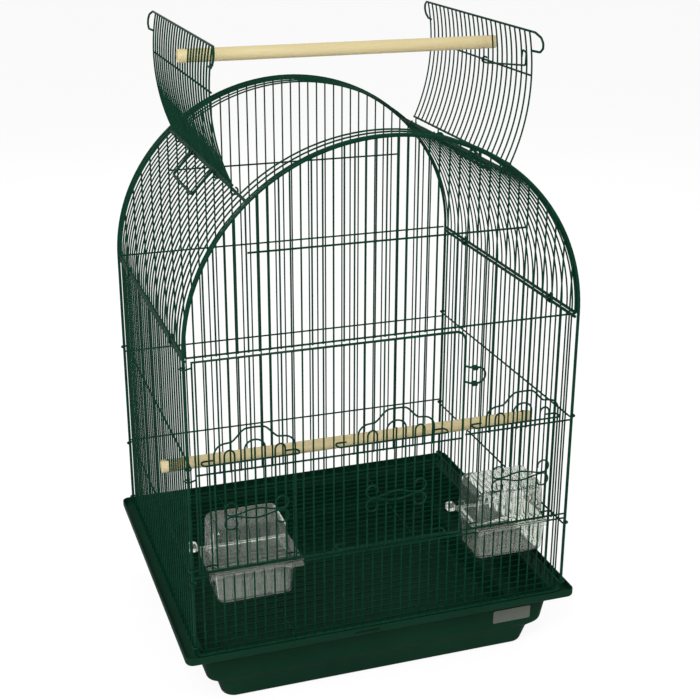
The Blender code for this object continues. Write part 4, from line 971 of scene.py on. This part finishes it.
for side_name, side in SIDES:
    outline = []
    for end, edge_y in ((-1, first_y), (1, last_y)):
        ear = []
        for climb, reach, lift in EAR_BENDS:
            x, z = vault_point(ear_angle + (tip_angle - ear_angle) * climb, lift)
            ear.append(Vector((side * x, edge_y + end * EAR_REACH * reach, z)))
        outline += ear if end < 0 else ear[::-1]
    x, z = vault_point(base_angle)
    legs = []
    for bay in FLAP_LEG_BAYS:
        y = bar_y(bay + 0.5)
        rail = Vector((side * HINGE_X, y, HINGE_Z))
        base = Vector((side * x, y, z))
        toward = (base - rail).normalized()
        eye = arc(rail, EYE_RADIUS, 35, 315, 16, toward, quarter_turned(toward) * side)
        legs.append(opened([base] + eye, side))
    flap = join_wires(
        "roof_flap_wires_" + side_name,
        vault_group(
            first_y, bar_count, base_angle, tip_angle, 18, side, turn=side * FLAP_OPEN, seed=41 + side
        ),
        wires([opened(outline, side)], FLAP_EDGE_WIRE, bend=EAR_BEND),
        wires([opened(lengthwise(side * x, z, *flap_ends), side)], FLAP_EDGE_WIRE),
        wires(legs, BAR_WIRE, 8),
        welds(tuple(opened([(side * x, first_y, z)], side)[0]), bar_count, SIDE_STEP, SIDE_WELD),
    )
    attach(flap, "roof_flap_" + side_name)
    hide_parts("roof_flap_" + side_name)

    rod_x, rod_z = vault_point(rod_angle, -ROD_STEP)
    rod_line = opened(lengthwise(side * rod_x, rod_z, *flap_ends), side)
    rod = join_wires("flap_rod_wire_" + side_name, wires([rod_line], ROD_WIRE))
    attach(rod, "roof_flap_" + side_name)
    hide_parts("flap_rod_" + side_name)

# Flap hook
# A long wire with an eye round the right flap's cross rod. Its bent end hooks
# over the other flap's rod to keep the closed roof shut.

HOOK_WIRE = 0.0011
HOOK_BEND = 0.003
HOOK_EYE = 0.0031744
HOOK_EYE_BAY = 13.5
# Distance up the flap from the rod, and along the cage from the eye, of each bend of the hook
HOOK_BENDS = ((-0.002, -0.012), (0.010, -0.115), (0.024, -0.116), (0.026, -0.106), (0.018, -0.105))

inward = -vault_square(rod_angle)
up_flap = quarter_turned(inward)
eye_place = Vector((rod_x, bar_y(HOOK_EYE_BAY), rod_z))
hook_line = arc(eye_place, HOOK_EYE, 150, -90, 16, inward, up_flap)
for climb, y in HOOK_BENDS:
    hook_line.append(eye_place + inward * HOOK_EYE + up_flap * climb + Vector((0, y, 0)))
flap_hook = join_wires("flap_hook_wire", wires([opened(hook_line, 1)], HOOK_WIRE, bend=HOOK_BEND))
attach(flap_hook, "flap_hook")
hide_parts("flap_hook")

# Main door
# A bent wire frame full of bars that swings on three eyes round the left corner post. A cross rod
# carries the bars over two feeder doorways, and a loop at the free edge latches over the next bar.

DOOR_LEFT_X = -0.2215
DOOR_RIGHT_X = 7.673 * BAR_PITCH
DOOR_BOTTOM_Z = 0.185
DOOR_TOP_Z = 0.437
DOOR_ROD_Z = 0.305
DOOR_ROD_END = 0.0005
DOOR_WIDTH_IN_BARS = 26
DOOR_CORNER = 0.012
DOOR_WIRE = 0.0015
DOOR_EYE_HEIGHTS = (0.191, 0.301, 0.431)
# First and last bar, counted from the middle, their low end and random seed
DOOR_BARS = (
    (-18.5, -17.5, DOOR_BOTTOM_Z, 51),
    (-16.5, -10.5, DOOR_ROD_Z, 52),
    (-9.5, -4.5, DOOR_BOTTOM_Z, 53),
    (-3.5, 4.5, DOOR_ROD_Z, 54),
    (5.5, 6.5, DOOR_BOTTOM_Z, 55),
)
LATCH_WIRE = 0.0012
LATCH_BEND = 0.002
LATCH_Z = 0.3855
LATCH_RADIUS = 0.0095
LATCH_Y = -HALF_DEPTH - 0.0085
LATCH_NEAR_X = DOOR_RIGHT_X + 0.00625
LATCH_HUB_X = LATCH_NEAR_X + 0.0060
COIL_RADIUS = 0.0024
COIL_LENGTH = 0.0055
COIL_TURNS = 3
COIL_STEPS = 12 * COIL_TURNS

front_y = -HALF_DEPTH
door_outline = [
    Vector((DOOR_LEFT_X, front_y, DOOR_BOTTOM_Z)),
    Vector((DOOR_RIGHT_X, front_y, DOOR_BOTTOM_Z)),
    *arc((DOOR_RIGHT_X - DOOR_CORNER, front_y, DOOR_TOP_Z - DOOR_CORNER), DOOR_CORNER, 0, 90, 8),
    Vector((DOOR_LEFT_X, front_y, DOOR_TOP_Z)),
    Vector((DOOR_LEFT_X, front_y, DOOR_BOTTOM_Z)),
]
eyes = []
for z in DOOR_EYE_HEIGHTS:
    around = arc((-HALF_WIDTH, front_y, z), EYE_RADIUS, -52, -308, 16, ALONG_X, ALONG_Y)
    eyes.append([Vector((DOOR_LEFT_X, front_y, z))] + around)
latch = [
    Vector((DOOR_RIGHT_X, front_y, LATCH_Z - LATCH_RADIUS)),
    Vector((LATCH_NEAR_X, LATCH_Y, LATCH_Z - LATCH_RADIUS)),
    *arc((LATCH_HUB_X, LATCH_Y, LATCH_Z), LATCH_RADIUS, -90, 90, 14),
    Vector((LATCH_NEAR_X, LATCH_Y, LATCH_Z + LATCH_RADIUS)),
    Vector((DOOR_RIGHT_X, front_y, LATCH_Z + LATCH_RADIUS)),
]
coils = []
for z in (LATCH_Z - LATCH_RADIUS, LATCH_Z + LATCH_RADIUS):
    coil = arc((0, LATCH_Y, z), COIL_RADIUS, 0, 360 * COIL_TURNS, COIL_STEPS, ALONG_Y, ALONG_Z)
    for step, point in enumerate(coil):
        point.x = LATCH_NEAR_X + COIL_LENGTH * step / COIL_STEPS
    coils.append(coil)
main_door = join_wires(
    "main_door_wires",
    wires([door_outline], DOOR_WIRE, 12),
    *[bar_group(front_y, first, last, low, DOOR_TOP_Z, 0.0, seed) for first, last, low, seed in DOOR_BARS],
    wires(eyes, BAR_WIRE, 8),
    wires([latch], LATCH_WIRE, bend=LATCH_BEND),
    wires(coils, BAR_WIRE, 6),
)
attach(main_door, "main_door")
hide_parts("main_door")

rod_line = [
    (DOOR_LEFT_X + DOOR_ROD_END, FRONT_ROD_Y, DOOR_ROD_Z),
    (DOOR_RIGHT_X - DOOR_ROD_END, FRONT_ROD_Y, DOOR_ROD_Z),
]
main_door_rod = join_wires(
    "main_door_rod_wire",
    wires([rod_line], ROD_WIRE),
    welds((FIRST_BAR_X, FRONT_ROD_Y - ROD_STEP / 2, DOOR_ROD_Z), DOOR_WIDTH_IN_BARS, BAR_STEP, ROD_WELD),
)
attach(main_door_rod, "main_door")
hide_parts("main_door_rod")

# Sliding feeder doors
# Nine light bars whose tops bend over into arches under a bell-shaped crown. Two cross wires hold them
# and are looped at their ends round a guide bar on each side, so that the door slides up.

SLIDE_WIRE = 0.0011
SLIDE_BARS_Y = -0.20294
SLIDE_RODS_Y = -0.2009
SLIDE_BOTTOM_Z = 0.188
SLIDE_TOP_Z = 0.317
SLIDE_END_Z = SLIDE_BOTTOM_Z - SLIDE_WIRE
SLIDE_BARS = 9
SLIDE_PITCH = BAR_PITCH - 0.0004
SLIDE_HALF_WIDTH = SLIDE_PITCH * (SLIDE_BARS - 1) / 2
SLIDE_WELD = 0.0013
SLIDE_BEND = 0.0028
CROWN_CORNER = 0.0131
CROWN_LEVEL = 0.0045
CROWN_SHOULDER_Z = 0.3418
BELL_RISE = 0.015
LOW_STAPLE = 0.016
HIGH_STAPLE = 0.025
LOOP_HALF_WIDTH = 0.0080
LOOP_SIDE_Y = -0.1944
LOOP_INNER_Y = -0.189
# Share of the loop's half width and depth of each bend round a guide bar
LOOP_BENDS = ((-0.75, LOOP_INNER_Y), (0.75, LOOP_INNER_Y), (1.0, LOOP_SIDE_Y), (0.8, SLIDE_RODS_Y))
# Guide bars, counted from the middle, and how far the door stands off their middle
SLIDING_DOORS = {"left": (-17.5, -9.5, 0.0027), "centre": (-4.5, 5.5, 0.0016), "right": (9.5, 17.5, 0.0038)}


def door_centre(low_guide, high_guide, shift):
    """The middle of a sliding door."""
    return (low_guide + high_guide) / 2 * BAR_PITCH + shift


def crown_points(centre):
    """The outer wire: up one side, over the bell of the crown and down the other side."""
    corner_x = SLIDE_HALF_WIDTH - CROWN_CORNER
    half_crown = [Vector((centre + SLIDE_HALF_WIDTH, SLIDE_BARS_Y, SLIDE_END_Z))]
    hub = (centre + corner_x, SLIDE_BARS_Y, CROWN_SHOULDER_Z - CROWN_CORNER)
    half_crown += arc(hub, CROWN_CORNER, 0, 90, 10)
    for step in range(1, 17):
        t = step / 16
        steep = min(1.0, t * 1.5)
        rise = 0.8 * steep * steep * (3 - 2 * steep) + 0.2 * math.sin(math.pi * t / 2)
        x = centre + (corner_x - CROWN_LEVEL) * (1 - t)
        half_crown.append(Vector((x, SLIDE_BARS_Y, CROWN_SHOULDER_Z + BELL_RISE * rise)))
    return half_crown + [Vector((2 * centre - point.x, point.y, point.z)) for point in half_crown[-2::-1]]


def staple_points(left_x, right_x, peak):
    """Two bars that are one wire, bent over in an arch."""
    middle, half = (left_x + right_x) / 2, (right_x - left_x) / 2
    points = [Vector((right_x, SLIDE_BARS_Y, SLIDE_END_Z))]
    for step in range(15):
        angle = math.pi * step / 14
        z = SLIDE_TOP_Z + peak * (0.6 + 0.4 * math.sin(angle))
        points.append(Vector((middle + half * math.cos(angle), SLIDE_BARS_Y, z)))
    return points + [Vector((left_x, SLIDE_BARS_Y, SLIDE_END_Z))]


def guide_loop_points(low_guide, high_guide, z):
    """A cross wire whose ends are bent inwards round the two guide bars."""
    points = []
    for guide, way in ((low_guide, -1), (high_guide, 1)):
        end = [Vector((guide * BAR_PITCH + way * LOOP_HALF_WIDTH * share, y, z)) for share, y in LOOP_BENDS]
        points += end if way < 0 else end[::-1]
    return points


for side_name, (low_guide, high_guide, shift) in SLIDING_DOORS.items():
    centre = door_centre(low_guide, high_guide, shift)
    xs = [centre - SLIDE_HALF_WIDTH + SLIDE_PITCH * index for index in range(SLIDE_BARS)]
    bars = [
        crown_points(centre),
        staple_points(xs[1], xs[2], LOW_STAPLE),
        staple_points(xs[3], xs[5], HIGH_STAPLE),
        staple_points(xs[6], xs[7], LOW_STAPLE),
        [(xs[4], SLIDE_BARS_Y, SLIDE_END_Z), (xs[4], SLIDE_BARS_Y, SLIDE_TOP_Z + LOW_STAPLE)],
    ]
    sliding_door = join_wires(
        "sliding_door_wires_" + side_name,
        wires(bars, SLIDE_WIRE, 8),
        wires(
            [guide_loop_points(low_guide, high_guide, z) for z in (SLIDE_BOTTOM_Z, SLIDE_TOP_Z)],
            SLIDE_WIRE, 8, SLIDE_BEND,
        ),
        welds(
            (xs[0], (SLIDE_BARS_Y + SLIDE_RODS_Y) / 2, SLIDE_BOTTOM_Z), SLIDE_BARS, (SLIDE_PITCH, 0.0, 0.0),
            SLIDE_WELD, 2, (0.0, 0.0, SLIDE_TOP_Z - SLIDE_BOTTOM_Z),
        ),
    )
    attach(sliding_door, "sliding_door_" + side_name)
    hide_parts("sliding_door_" + side_name)

# Scroll ornaments
# A pair of thin wires with curled ends, set back to back and welded to the
# front of each sliding door as a decoration.

SCROLL_WIRE = 0.0010
SCROLL_Y = -0.20550
SCROLL_HEIGHTS = {"left": 0.2545, "centre": 0.250, "right": 0.250}
SCROLL_CURL = 0.0085
SCROLL_HUB_X = 0.0285
SCROLL_BOW = 0.005
SCROLL_APART = 0.0006
SCROLL_TURN = math.radians(285)
SCROLL_TIGHTENING = 0.28

half_scroll = []
for step in range(13):
    bow = SCROLL_BOW * math.cos(math.pi * step / 13 / 2) ** 2
    half_scroll.append((SCROLL_HUB_X * step / 13, SCROLL_APART + bow))
for step in range(33):
    angle = -math.pi / 2 + SCROLL_TURN * step / 32
    radius = SCROLL_CURL * (1 - SCROLL_TIGHTENING * step / 32)
    x, z = SCROLL_HUB_X + radius * math.cos(angle), SCROLL_APART + SCROLL_CURL + radius * math.sin(angle)
    half_scroll.append((x, z))
whole_scroll = [(-x, z) for x, z in half_scroll[:0:-1]] + half_scroll
for side_name, place in SLIDING_DOORS.items():
    scrolls = [
        [(door_centre(*place) + x, SCROLL_Y, SCROLL_HEIGHTS[side_name] + way * z) for x, z in whole_scroll]
        for way in (1, -1)
    ]
    scroll = join_wires("scroll_wires_" + side_name, wires(scrolls, SCROLL_WIRE, 8))
    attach(scroll, "sliding_door_" + side_name)
    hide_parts("door_scroll_" + side_name)

# Perches
# Turned dowels of bare pale wood with softly rounded ends. A saw cut in each
# end slips over a bar, so that the perch stays put.

PERCH_RADIUS = 0.0075
PERCH_WAVER = 0.006
SAW_HALF_WIDTH = 0.0017
# How near to a saw cut's wall a corner of the CAD dowel lies that belongs to it
ON_SAW_CUT = 0.0002
PAST_END = 0.01
PAST_SIDE = 0.02
# Distance from the end and share of the radius of each ring of a rounded end
PERCH_END = ((0.0, 0.86), (0.0003, 0.95), (0.0010, 1.0))

perch_wood, tree, spot = start_material("perch_wood")
figure = noise(tree, stretched(tree, spot, (3.0, 70.0, 70.0)), 2.2, 4.0, Distortion=0.6)
tone = tint(tree, figure, (0.49, 0.425, 0.24), (0.41, 0.335, 0.175))
pores = noise(tree, stretched(tree, spot, (14.0, 420.0, 420.0)), 2.6, 5.0)
grain = tint(tree, ramp(tree, pores, 0.0, 0.35, 0.56, 0.72), tone, (0.37, 0.265, 0.13))
sanded = ramp(tree, noise(tree, spot, 26.0, 3.0), 0.46, 0.68)
end_material(tree, grain, sanded, bumps(tree, pores, 0.35, 0.0003), {"Specular IOR Level": 0.35})

for node, body in (("top_perch", "top_perch"), ("inner_perch", "cage_frame")):
    low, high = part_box(node)
    y, z = (low.y + high.y) / 2, (low.z + high.z) / 2
    corners = [vertex.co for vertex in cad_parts[node].data.vertices]
    saw_cuts = bmesh.new()
    for end_x, way in ((low.x, -1), (high.x, 1)):
        cut_reach = [
            abs(p.x) for p in corners if p.x * way > 0 and abs(abs(p.y - y) - SAW_HALF_WIDTH) < ON_SAW_CUT
        ]
        near_x, far_x = sorted((way * min(cut_reach), end_x + way * PAST_END))
        add_block(
            saw_cuts, Vector((near_x, y - SAW_HALF_WIDTH, z - PAST_SIDE)),
            Vector((far_x, y + SAW_HALF_WIDTH, z + PAST_SIDE)),
        )
    cutter = add_object("saw_cuts", as_mesh("saw_cuts", saw_cuts))
    rings = [(low.x + inset, share) for inset, share in PERCH_END]
    for step in range(1, 12):
        rings.append((low.x + (high.x - low.x) * step / 12, 1.0 - PERCH_WAVER * math.sin(step * 2.1)))
    rings += [(high.x - inset, share) for inset, share in PERCH_END[::-1]]
    dowel = bmesh.new()
    loft(dowel, [
        arc((x, y, z), PERCH_RADIUS * share, 0, 352.5, 47, ALONG_Y, ALONG_Z) for x, share in rings
    ])
    perch = add_piece(
        node + "_dowel", dowel, perch_wood, 38.0,
        [("BOOLEAN", {"operation": "DIFFERENCE", "solver": "EXACT", "object": cutter})],
    )
    bpy.data.objects.remove(cutter)
    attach(perch, body)
    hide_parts(node)

# Feeder cups
# Clear moulded plastic: a tapered cup under a wide flat rim. The rim's front edge hangs over the low
# rod and turns down in a tab at each end, and a small ear stands out at the back left.

CUP_FRONT_Y = -0.1940
CUP_BACK_Y = -0.1360
RIM_LOW_Z = 0.1809
RIM_HIGH_Z = 0.1826
RIM_NECK_Y = -0.1955
RIM_FRONT_Y = -0.2009
RIM_BACK_Y = -0.1330
RIM_CORNER = 0.0030
# Left and right edge of the rim, of its front edge, of the cup and of the hood
FEEDERS = {
    "left": (-0.2110, -0.1010, -0.2110, -0.1010, -0.2025, -0.1090, -0.2030, -0.1140),
    "right": (0.1120, 0.2135, 0.1136, 0.2048, 0.1160, 0.2085, 0.1155, 0.2060),
}
# Inset, corner radius and height of each edge of a cup, and its rounding's reach
CUP_OUTSIDE = (
    (0.0088, 0.0040, 0.1385, 0),
    (0.0028, 0.0085, 0.1385, 0.0040),
    (0.0, 0.0085, 0.1789, 0.0040),
    (0.0, 0.0085, RIM_LOW_Z, 0),
)
CUP_INSIDE = (
    (0.0015, 0.0070, RIM_HIGH_Z, 0),
    (0.0015, 0.0070, 0.1806, 0.0040),
    (0.0043, 0.0070, 0.1400, 0.0036),
    (0.0108, 0.0030, 0.1400, 0),
)
# Inset and height of each ring of the rim
RIM_RINGS = ((0.0003, RIM_LOW_Z), (0.0, 0.1813), (0.0, 0.1822), (0.0003, RIM_HIGH_Z))
TAB_THICK = 0.0012
TAB_INSET = 0.0005
# Distance from the rim's end and height of each bend of a tab
TAB_BENDS = (
    (0.0015, 0.1812), (0.0, 0.1781), (0.0, 0.1776), (0.0006, 0.1762), (0.0020, 0.1756),
    (0.0150, 0.1756), (0.0170, 0.1761), (0.0195, 0.1784), (0.0215, 0.1776), (0.0235, 0.1781),
)
# Left, right, front and back side of the ear, from the rim's back left corner
CUP_EAR = (-0.0090, 0.0010, -0.0030, 0.0090)
CUP_EAR_CORNER = 0.0026
# Inset and height above the rim's underside of each ring of the ear
CUP_EAR_RINGS = ((0.0006, -0.0030), (0.0, -0.0024), (0.0, 0.0044), (0.0006, 0.0050))

clear_plastic, tree, spot = start_material("clear_plastic")
haze = noise(tree, spot, 55.0, 1.0)
milky = tint(tree, haze, (0.80, 0.85, 0.78), (0.91, 0.94, 0.89))
flow = noise(tree, stretched(tree, spot, (0.5, 1.0, 1.0)), 40.0, 1.0)
end_material(
    tree, milky, ramp(tree, haze, 0.02, 0.07, 0.35, 0.70), bumps(tree, flow, 0.06, 0.0010),
    {"Transmission Weight": 0.965, "IOR": 1.42},
)


def rim_ring(rim_left, rim_right, neck_left, neck_right, inset, z):
    """The rim seen from above: a rectangle whose front edge may be narrower than the rest."""
    ring = plan_ring(rim_left + inset, rim_right - inset, RIM_NECK_Y, RIM_BACK_Y, RIM_CORNER, z, 7)
    front = plan_ring(neck_left + inset, neck_right - inset, RIM_FRONT_Y, RIM_BACK_Y, RIM_CORNER, z, 7)
    return ring[:16] + front[16:]


for side_name, places in FEEDERS.items():
    rim_left, rim_right, neck_left, neck_right, cup_left, cup_right = places[:6]
    cup_sides = (cup_left, cup_right, CUP_FRONT_Y, CUP_BACK_Y)
    outside, inside = [
        [plan_ring(*edge, 7) for edge in soft_edges([drawn_in(cup_sides, *edge) for edge in edges], 5)]
        for edges in (CUP_OUTSIDE, CUP_INSIDE)
    ]
    rim = [rim_ring(rim_left, rim_right, neck_left, neck_right, inset, z) for inset, z in RIM_RINGS]
    cup_shape = bmesh.new()
    loft(cup_shape, outside + rim + inside)
    tab_left, tab_right = neck_left + TAB_INSET, neck_right - TAB_INSET
    front_edge = [(tab_left + x, z) for x, z in TAB_BENDS]
    front_edge += [(tab_right - x, z) for x, z in TAB_BENDS[::-1]]
    loft(cup_shape, [
        [Vector((x, y, z)) for x, z in front_edge] for y in (RIM_FRONT_Y, RIM_FRONT_Y + TAB_THICK)
    ])
    ear_sides = [side + start for side, start in zip(CUP_EAR, (rim_left, rim_left, RIM_BACK_Y, RIM_BACK_Y))]
    loft(cup_shape, [
        plan_ring(*drawn_in(ear_sides, inset), CUP_EAR_CORNER - inset, RIM_LOW_Z + rise, 5)
        for inset, rise in CUP_EAR_RINGS
    ])
    cup = add_piece("feeder_cup_shell_" + side_name, cup_shape, clear_plastic, 40.0)
    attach(cup, "cage_frame")
    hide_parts("feeder_cup_" + side_name)

# Feeder hoods
# Clear moulded covers that stand on the cup's rim, closed to the front and open to the birds behind.
# The right one is fluted, the left one plain with a finger rib on its front.

HOOD_FRONT_Y = -0.1868
HOOD_BACK_Y = -0.1380
HOOD_LOW_Z = 0.1829
HOOD_TOP_Z = 0.2285
HOOD_CORNER = 0.0095
HOOD_WALL = 0.0014
HOOD_LEAN = 0.0012
# How far the rounding of the front edge reaches back, in at the sides and down
HOOD_ROUND = 0.0080
HOOD_SIDE_ROUND = 0.0028
HOOD_TOP_ROUND = 0.0060
HOOD_COLUMNS = 72
HOOD_SIDE_ROWS = 5
HOOD_STEPS = 8
# Number and depth of the flutes
HOOD_FLUTES = {"left": (0, 0.0), "right": (9, 0.0013)}
# Left, right, low and high side of the finger rib
RIB_SIDES = (-0.1430, -0.1390, 0.1880, 0.2070)
RIB_CORNER = 0.0016
# Inset and depth of each ring of the rib
RIB_RINGS = ((0.0008, HOOD_FRONT_Y - 0.0016), (0.0, HOOD_FRONT_Y - 0.0012), (0.0, HOOD_FRONT_Y + 0.0004))


def flute(count, depth, share):
    """How far the surface is sunk, a share of the way across."""
    return depth * (1 - abs(math.sin(math.pi * count * share)))


def hood_outline(left, right, y, flutes, side_inset=0.0, top_inset=0.0):
    """One gate-shaped line of the hood, from its low left corner to its low right one. It leans
    inwards to the top."""
    high = HOOD_TOP_Z - HOOD_WALL / 2 - top_inset
    corner_z = high - HOOD_CORNER
    left, right = left + HOOD_WALL / 2 + side_inset, right - HOOD_WALL / 2 - side_inset
    left_hub, right_hub = left + HOOD_LEAN + HOOD_CORNER, right - HOOD_LEAN - HOOD_CORNER
    climb = [
        (HOOD_LEAN * row / HOOD_SIDE_ROWS, HOOD_LOW_Z + (corner_z - HOOD_LOW_Z) * row / HOOD_SIDE_ROWS)
        for row in range(HOOD_SIDE_ROWS)
    ]
    line = [Vector((left + lean, y, z)) for lean, z in climb]
    line += arc((left_hub, y, corner_z), HOOD_CORNER, 180, 90, 8)
    for column in range(1, HOOD_COLUMNS):
        share = column / HOOD_COLUMNS
        line.append(Vector((left_hub + (right_hub - left_hub) * share, y, high - flute(*flutes, share))))
    line += arc((right_hub, y, corner_z), HOOD_CORNER, 90, 0, 8)
    return line + [Vector((right - lean, y, z)) for lean, z in climb[::-1]]


def skin_over(shape, rows):
    """Faces between neighbouring rows of corners."""
    for row, following in zip(rows, rows[1:]):
        for index in range(len(row) - 1):
            shape.faces.new((row[index], row[index + 1], following[index + 1], following[index]))


for side_name, places in FEEDERS.items():
    left, right = places[6:]
    flutes = HOOD_FLUTES[side_name]
    front = HOOD_FRONT_Y + HOOD_WALL / 2
    lines = []
    for step in range(HOOD_STEPS + 1):
        angle = math.pi / 2 * step / HOOD_STEPS
        inset = 1 - math.sin(angle)
        y = front + HOOD_ROUND * (1 - math.cos(angle))
        lines.append(hood_outline(left, right, y, flutes, HOOD_SIDE_ROUND * inset, HOOD_TOP_ROUND * inset))
    for step in range(1, HOOD_STEPS + 1):
        y = front + HOOD_ROUND + (HOOD_BACK_Y - front - HOOD_ROUND) * step / HOOD_STEPS
        lines.append(hood_outline(left, right, y, flutes))
    hood_shape = bmesh.new()
    made = [[hood_shape.verts.new(point) for point in line] for line in lines]
    skin_over(hood_shape, made)
    top_start = (len(made[0]) - HOOD_COLUMNS - 1) // 2
    rows = []
    for index in range(top_start):
        start, end = made[0][index], made[0][-1 - index]
        row = [start]
        for column in range(1, HOOD_COLUMNS):
            share = column / HOOD_COLUMNS
            point = start.co.lerp(end.co, share)
            point.y += flute(*flutes, share) * min(1.0, index / 4)
            row.append(hood_shape.verts.new(point))
        rows.append(row + [end])
    rows.append(made[0][top_start:top_start + HOOD_COLUMNS + 1])
    skin_over(hood_shape, rows)
    hood = add_piece(
        "feeder_hood_shell_" + side_name, hood_shape, clear_plastic, 50.0,
        [
            ("SOLIDIFY", {"thickness": HOOD_WALL, "offset": 0.0, "use_even_offset": True}),
            ("BEVEL", {"width": 0.0003, "segments": 2, "limit_method": "ANGLE", "angle_limit": 1.0}),
        ],
    )
    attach(hood, "feeder_hood_" + side_name)
    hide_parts("feeder_hood_" + side_name)

    if side_name == "left":
        rib_rings = []
        for inset, y in RIB_RINGS:
            flat_ring = plan_ring(*drawn_in(RIB_SIDES, inset), RIB_CORNER - inset, 0.0, 4)
            rib_rings.append([Vector((point.x, y, point.y)) for point in flat_ring])
        rib = bmesh.new()
        loft(rib, rib_rings)
        finger_rib = add_piece("feeder_hood_rib_left", rib, clear_plastic, 40.0)
        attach(finger_rib, "feeder_hood_left")

# Carry handles
# Thick wire bails hooked on the hinge rails, one on each side. At rest they
# lie on the vault below their rail.

HANDLE_WIRE = 0.0017
HANDLE_BEND = 0.006
HANDLE_HALF_WIDTH = 4 * SIDE_BAR_PITCH
HANDLE_LENGTH = 0.035
HANDLE_LIFT = 0.0032
HANDLE_EYE = 0.00438

for side_name, side in SIDES:
    rail = Vector((side * HINGE_X, 0, HINGE_Z))
    x, z = vault_point(angle_along(HINGE_ANGLE, -HANDLE_LENGTH), HANDLE_LIFT)
    foot = Vector((side * x, 0, z))
    toward = (foot - rail).normalized()
    bail = []
    for end in (-1, 1):
        shift = Vector((0, end * HANDLE_HALF_WIDTH, 0))
        leg = arc(rail + shift, HANDLE_EYE, 300, 60, 16, toward, quarter_turned(toward) * -side)
        leg.append(foot + shift)
        bail += leg if end < 0 else leg[::-1]
    handle = join_wires("carry_handle_wire_" + side_name, wires([bail], HANDLE_WIRE, 12, HANDLE_BEND))
    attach(handle, "carry_handle_" + side_name)
    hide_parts("carry_handle_" + side_name)
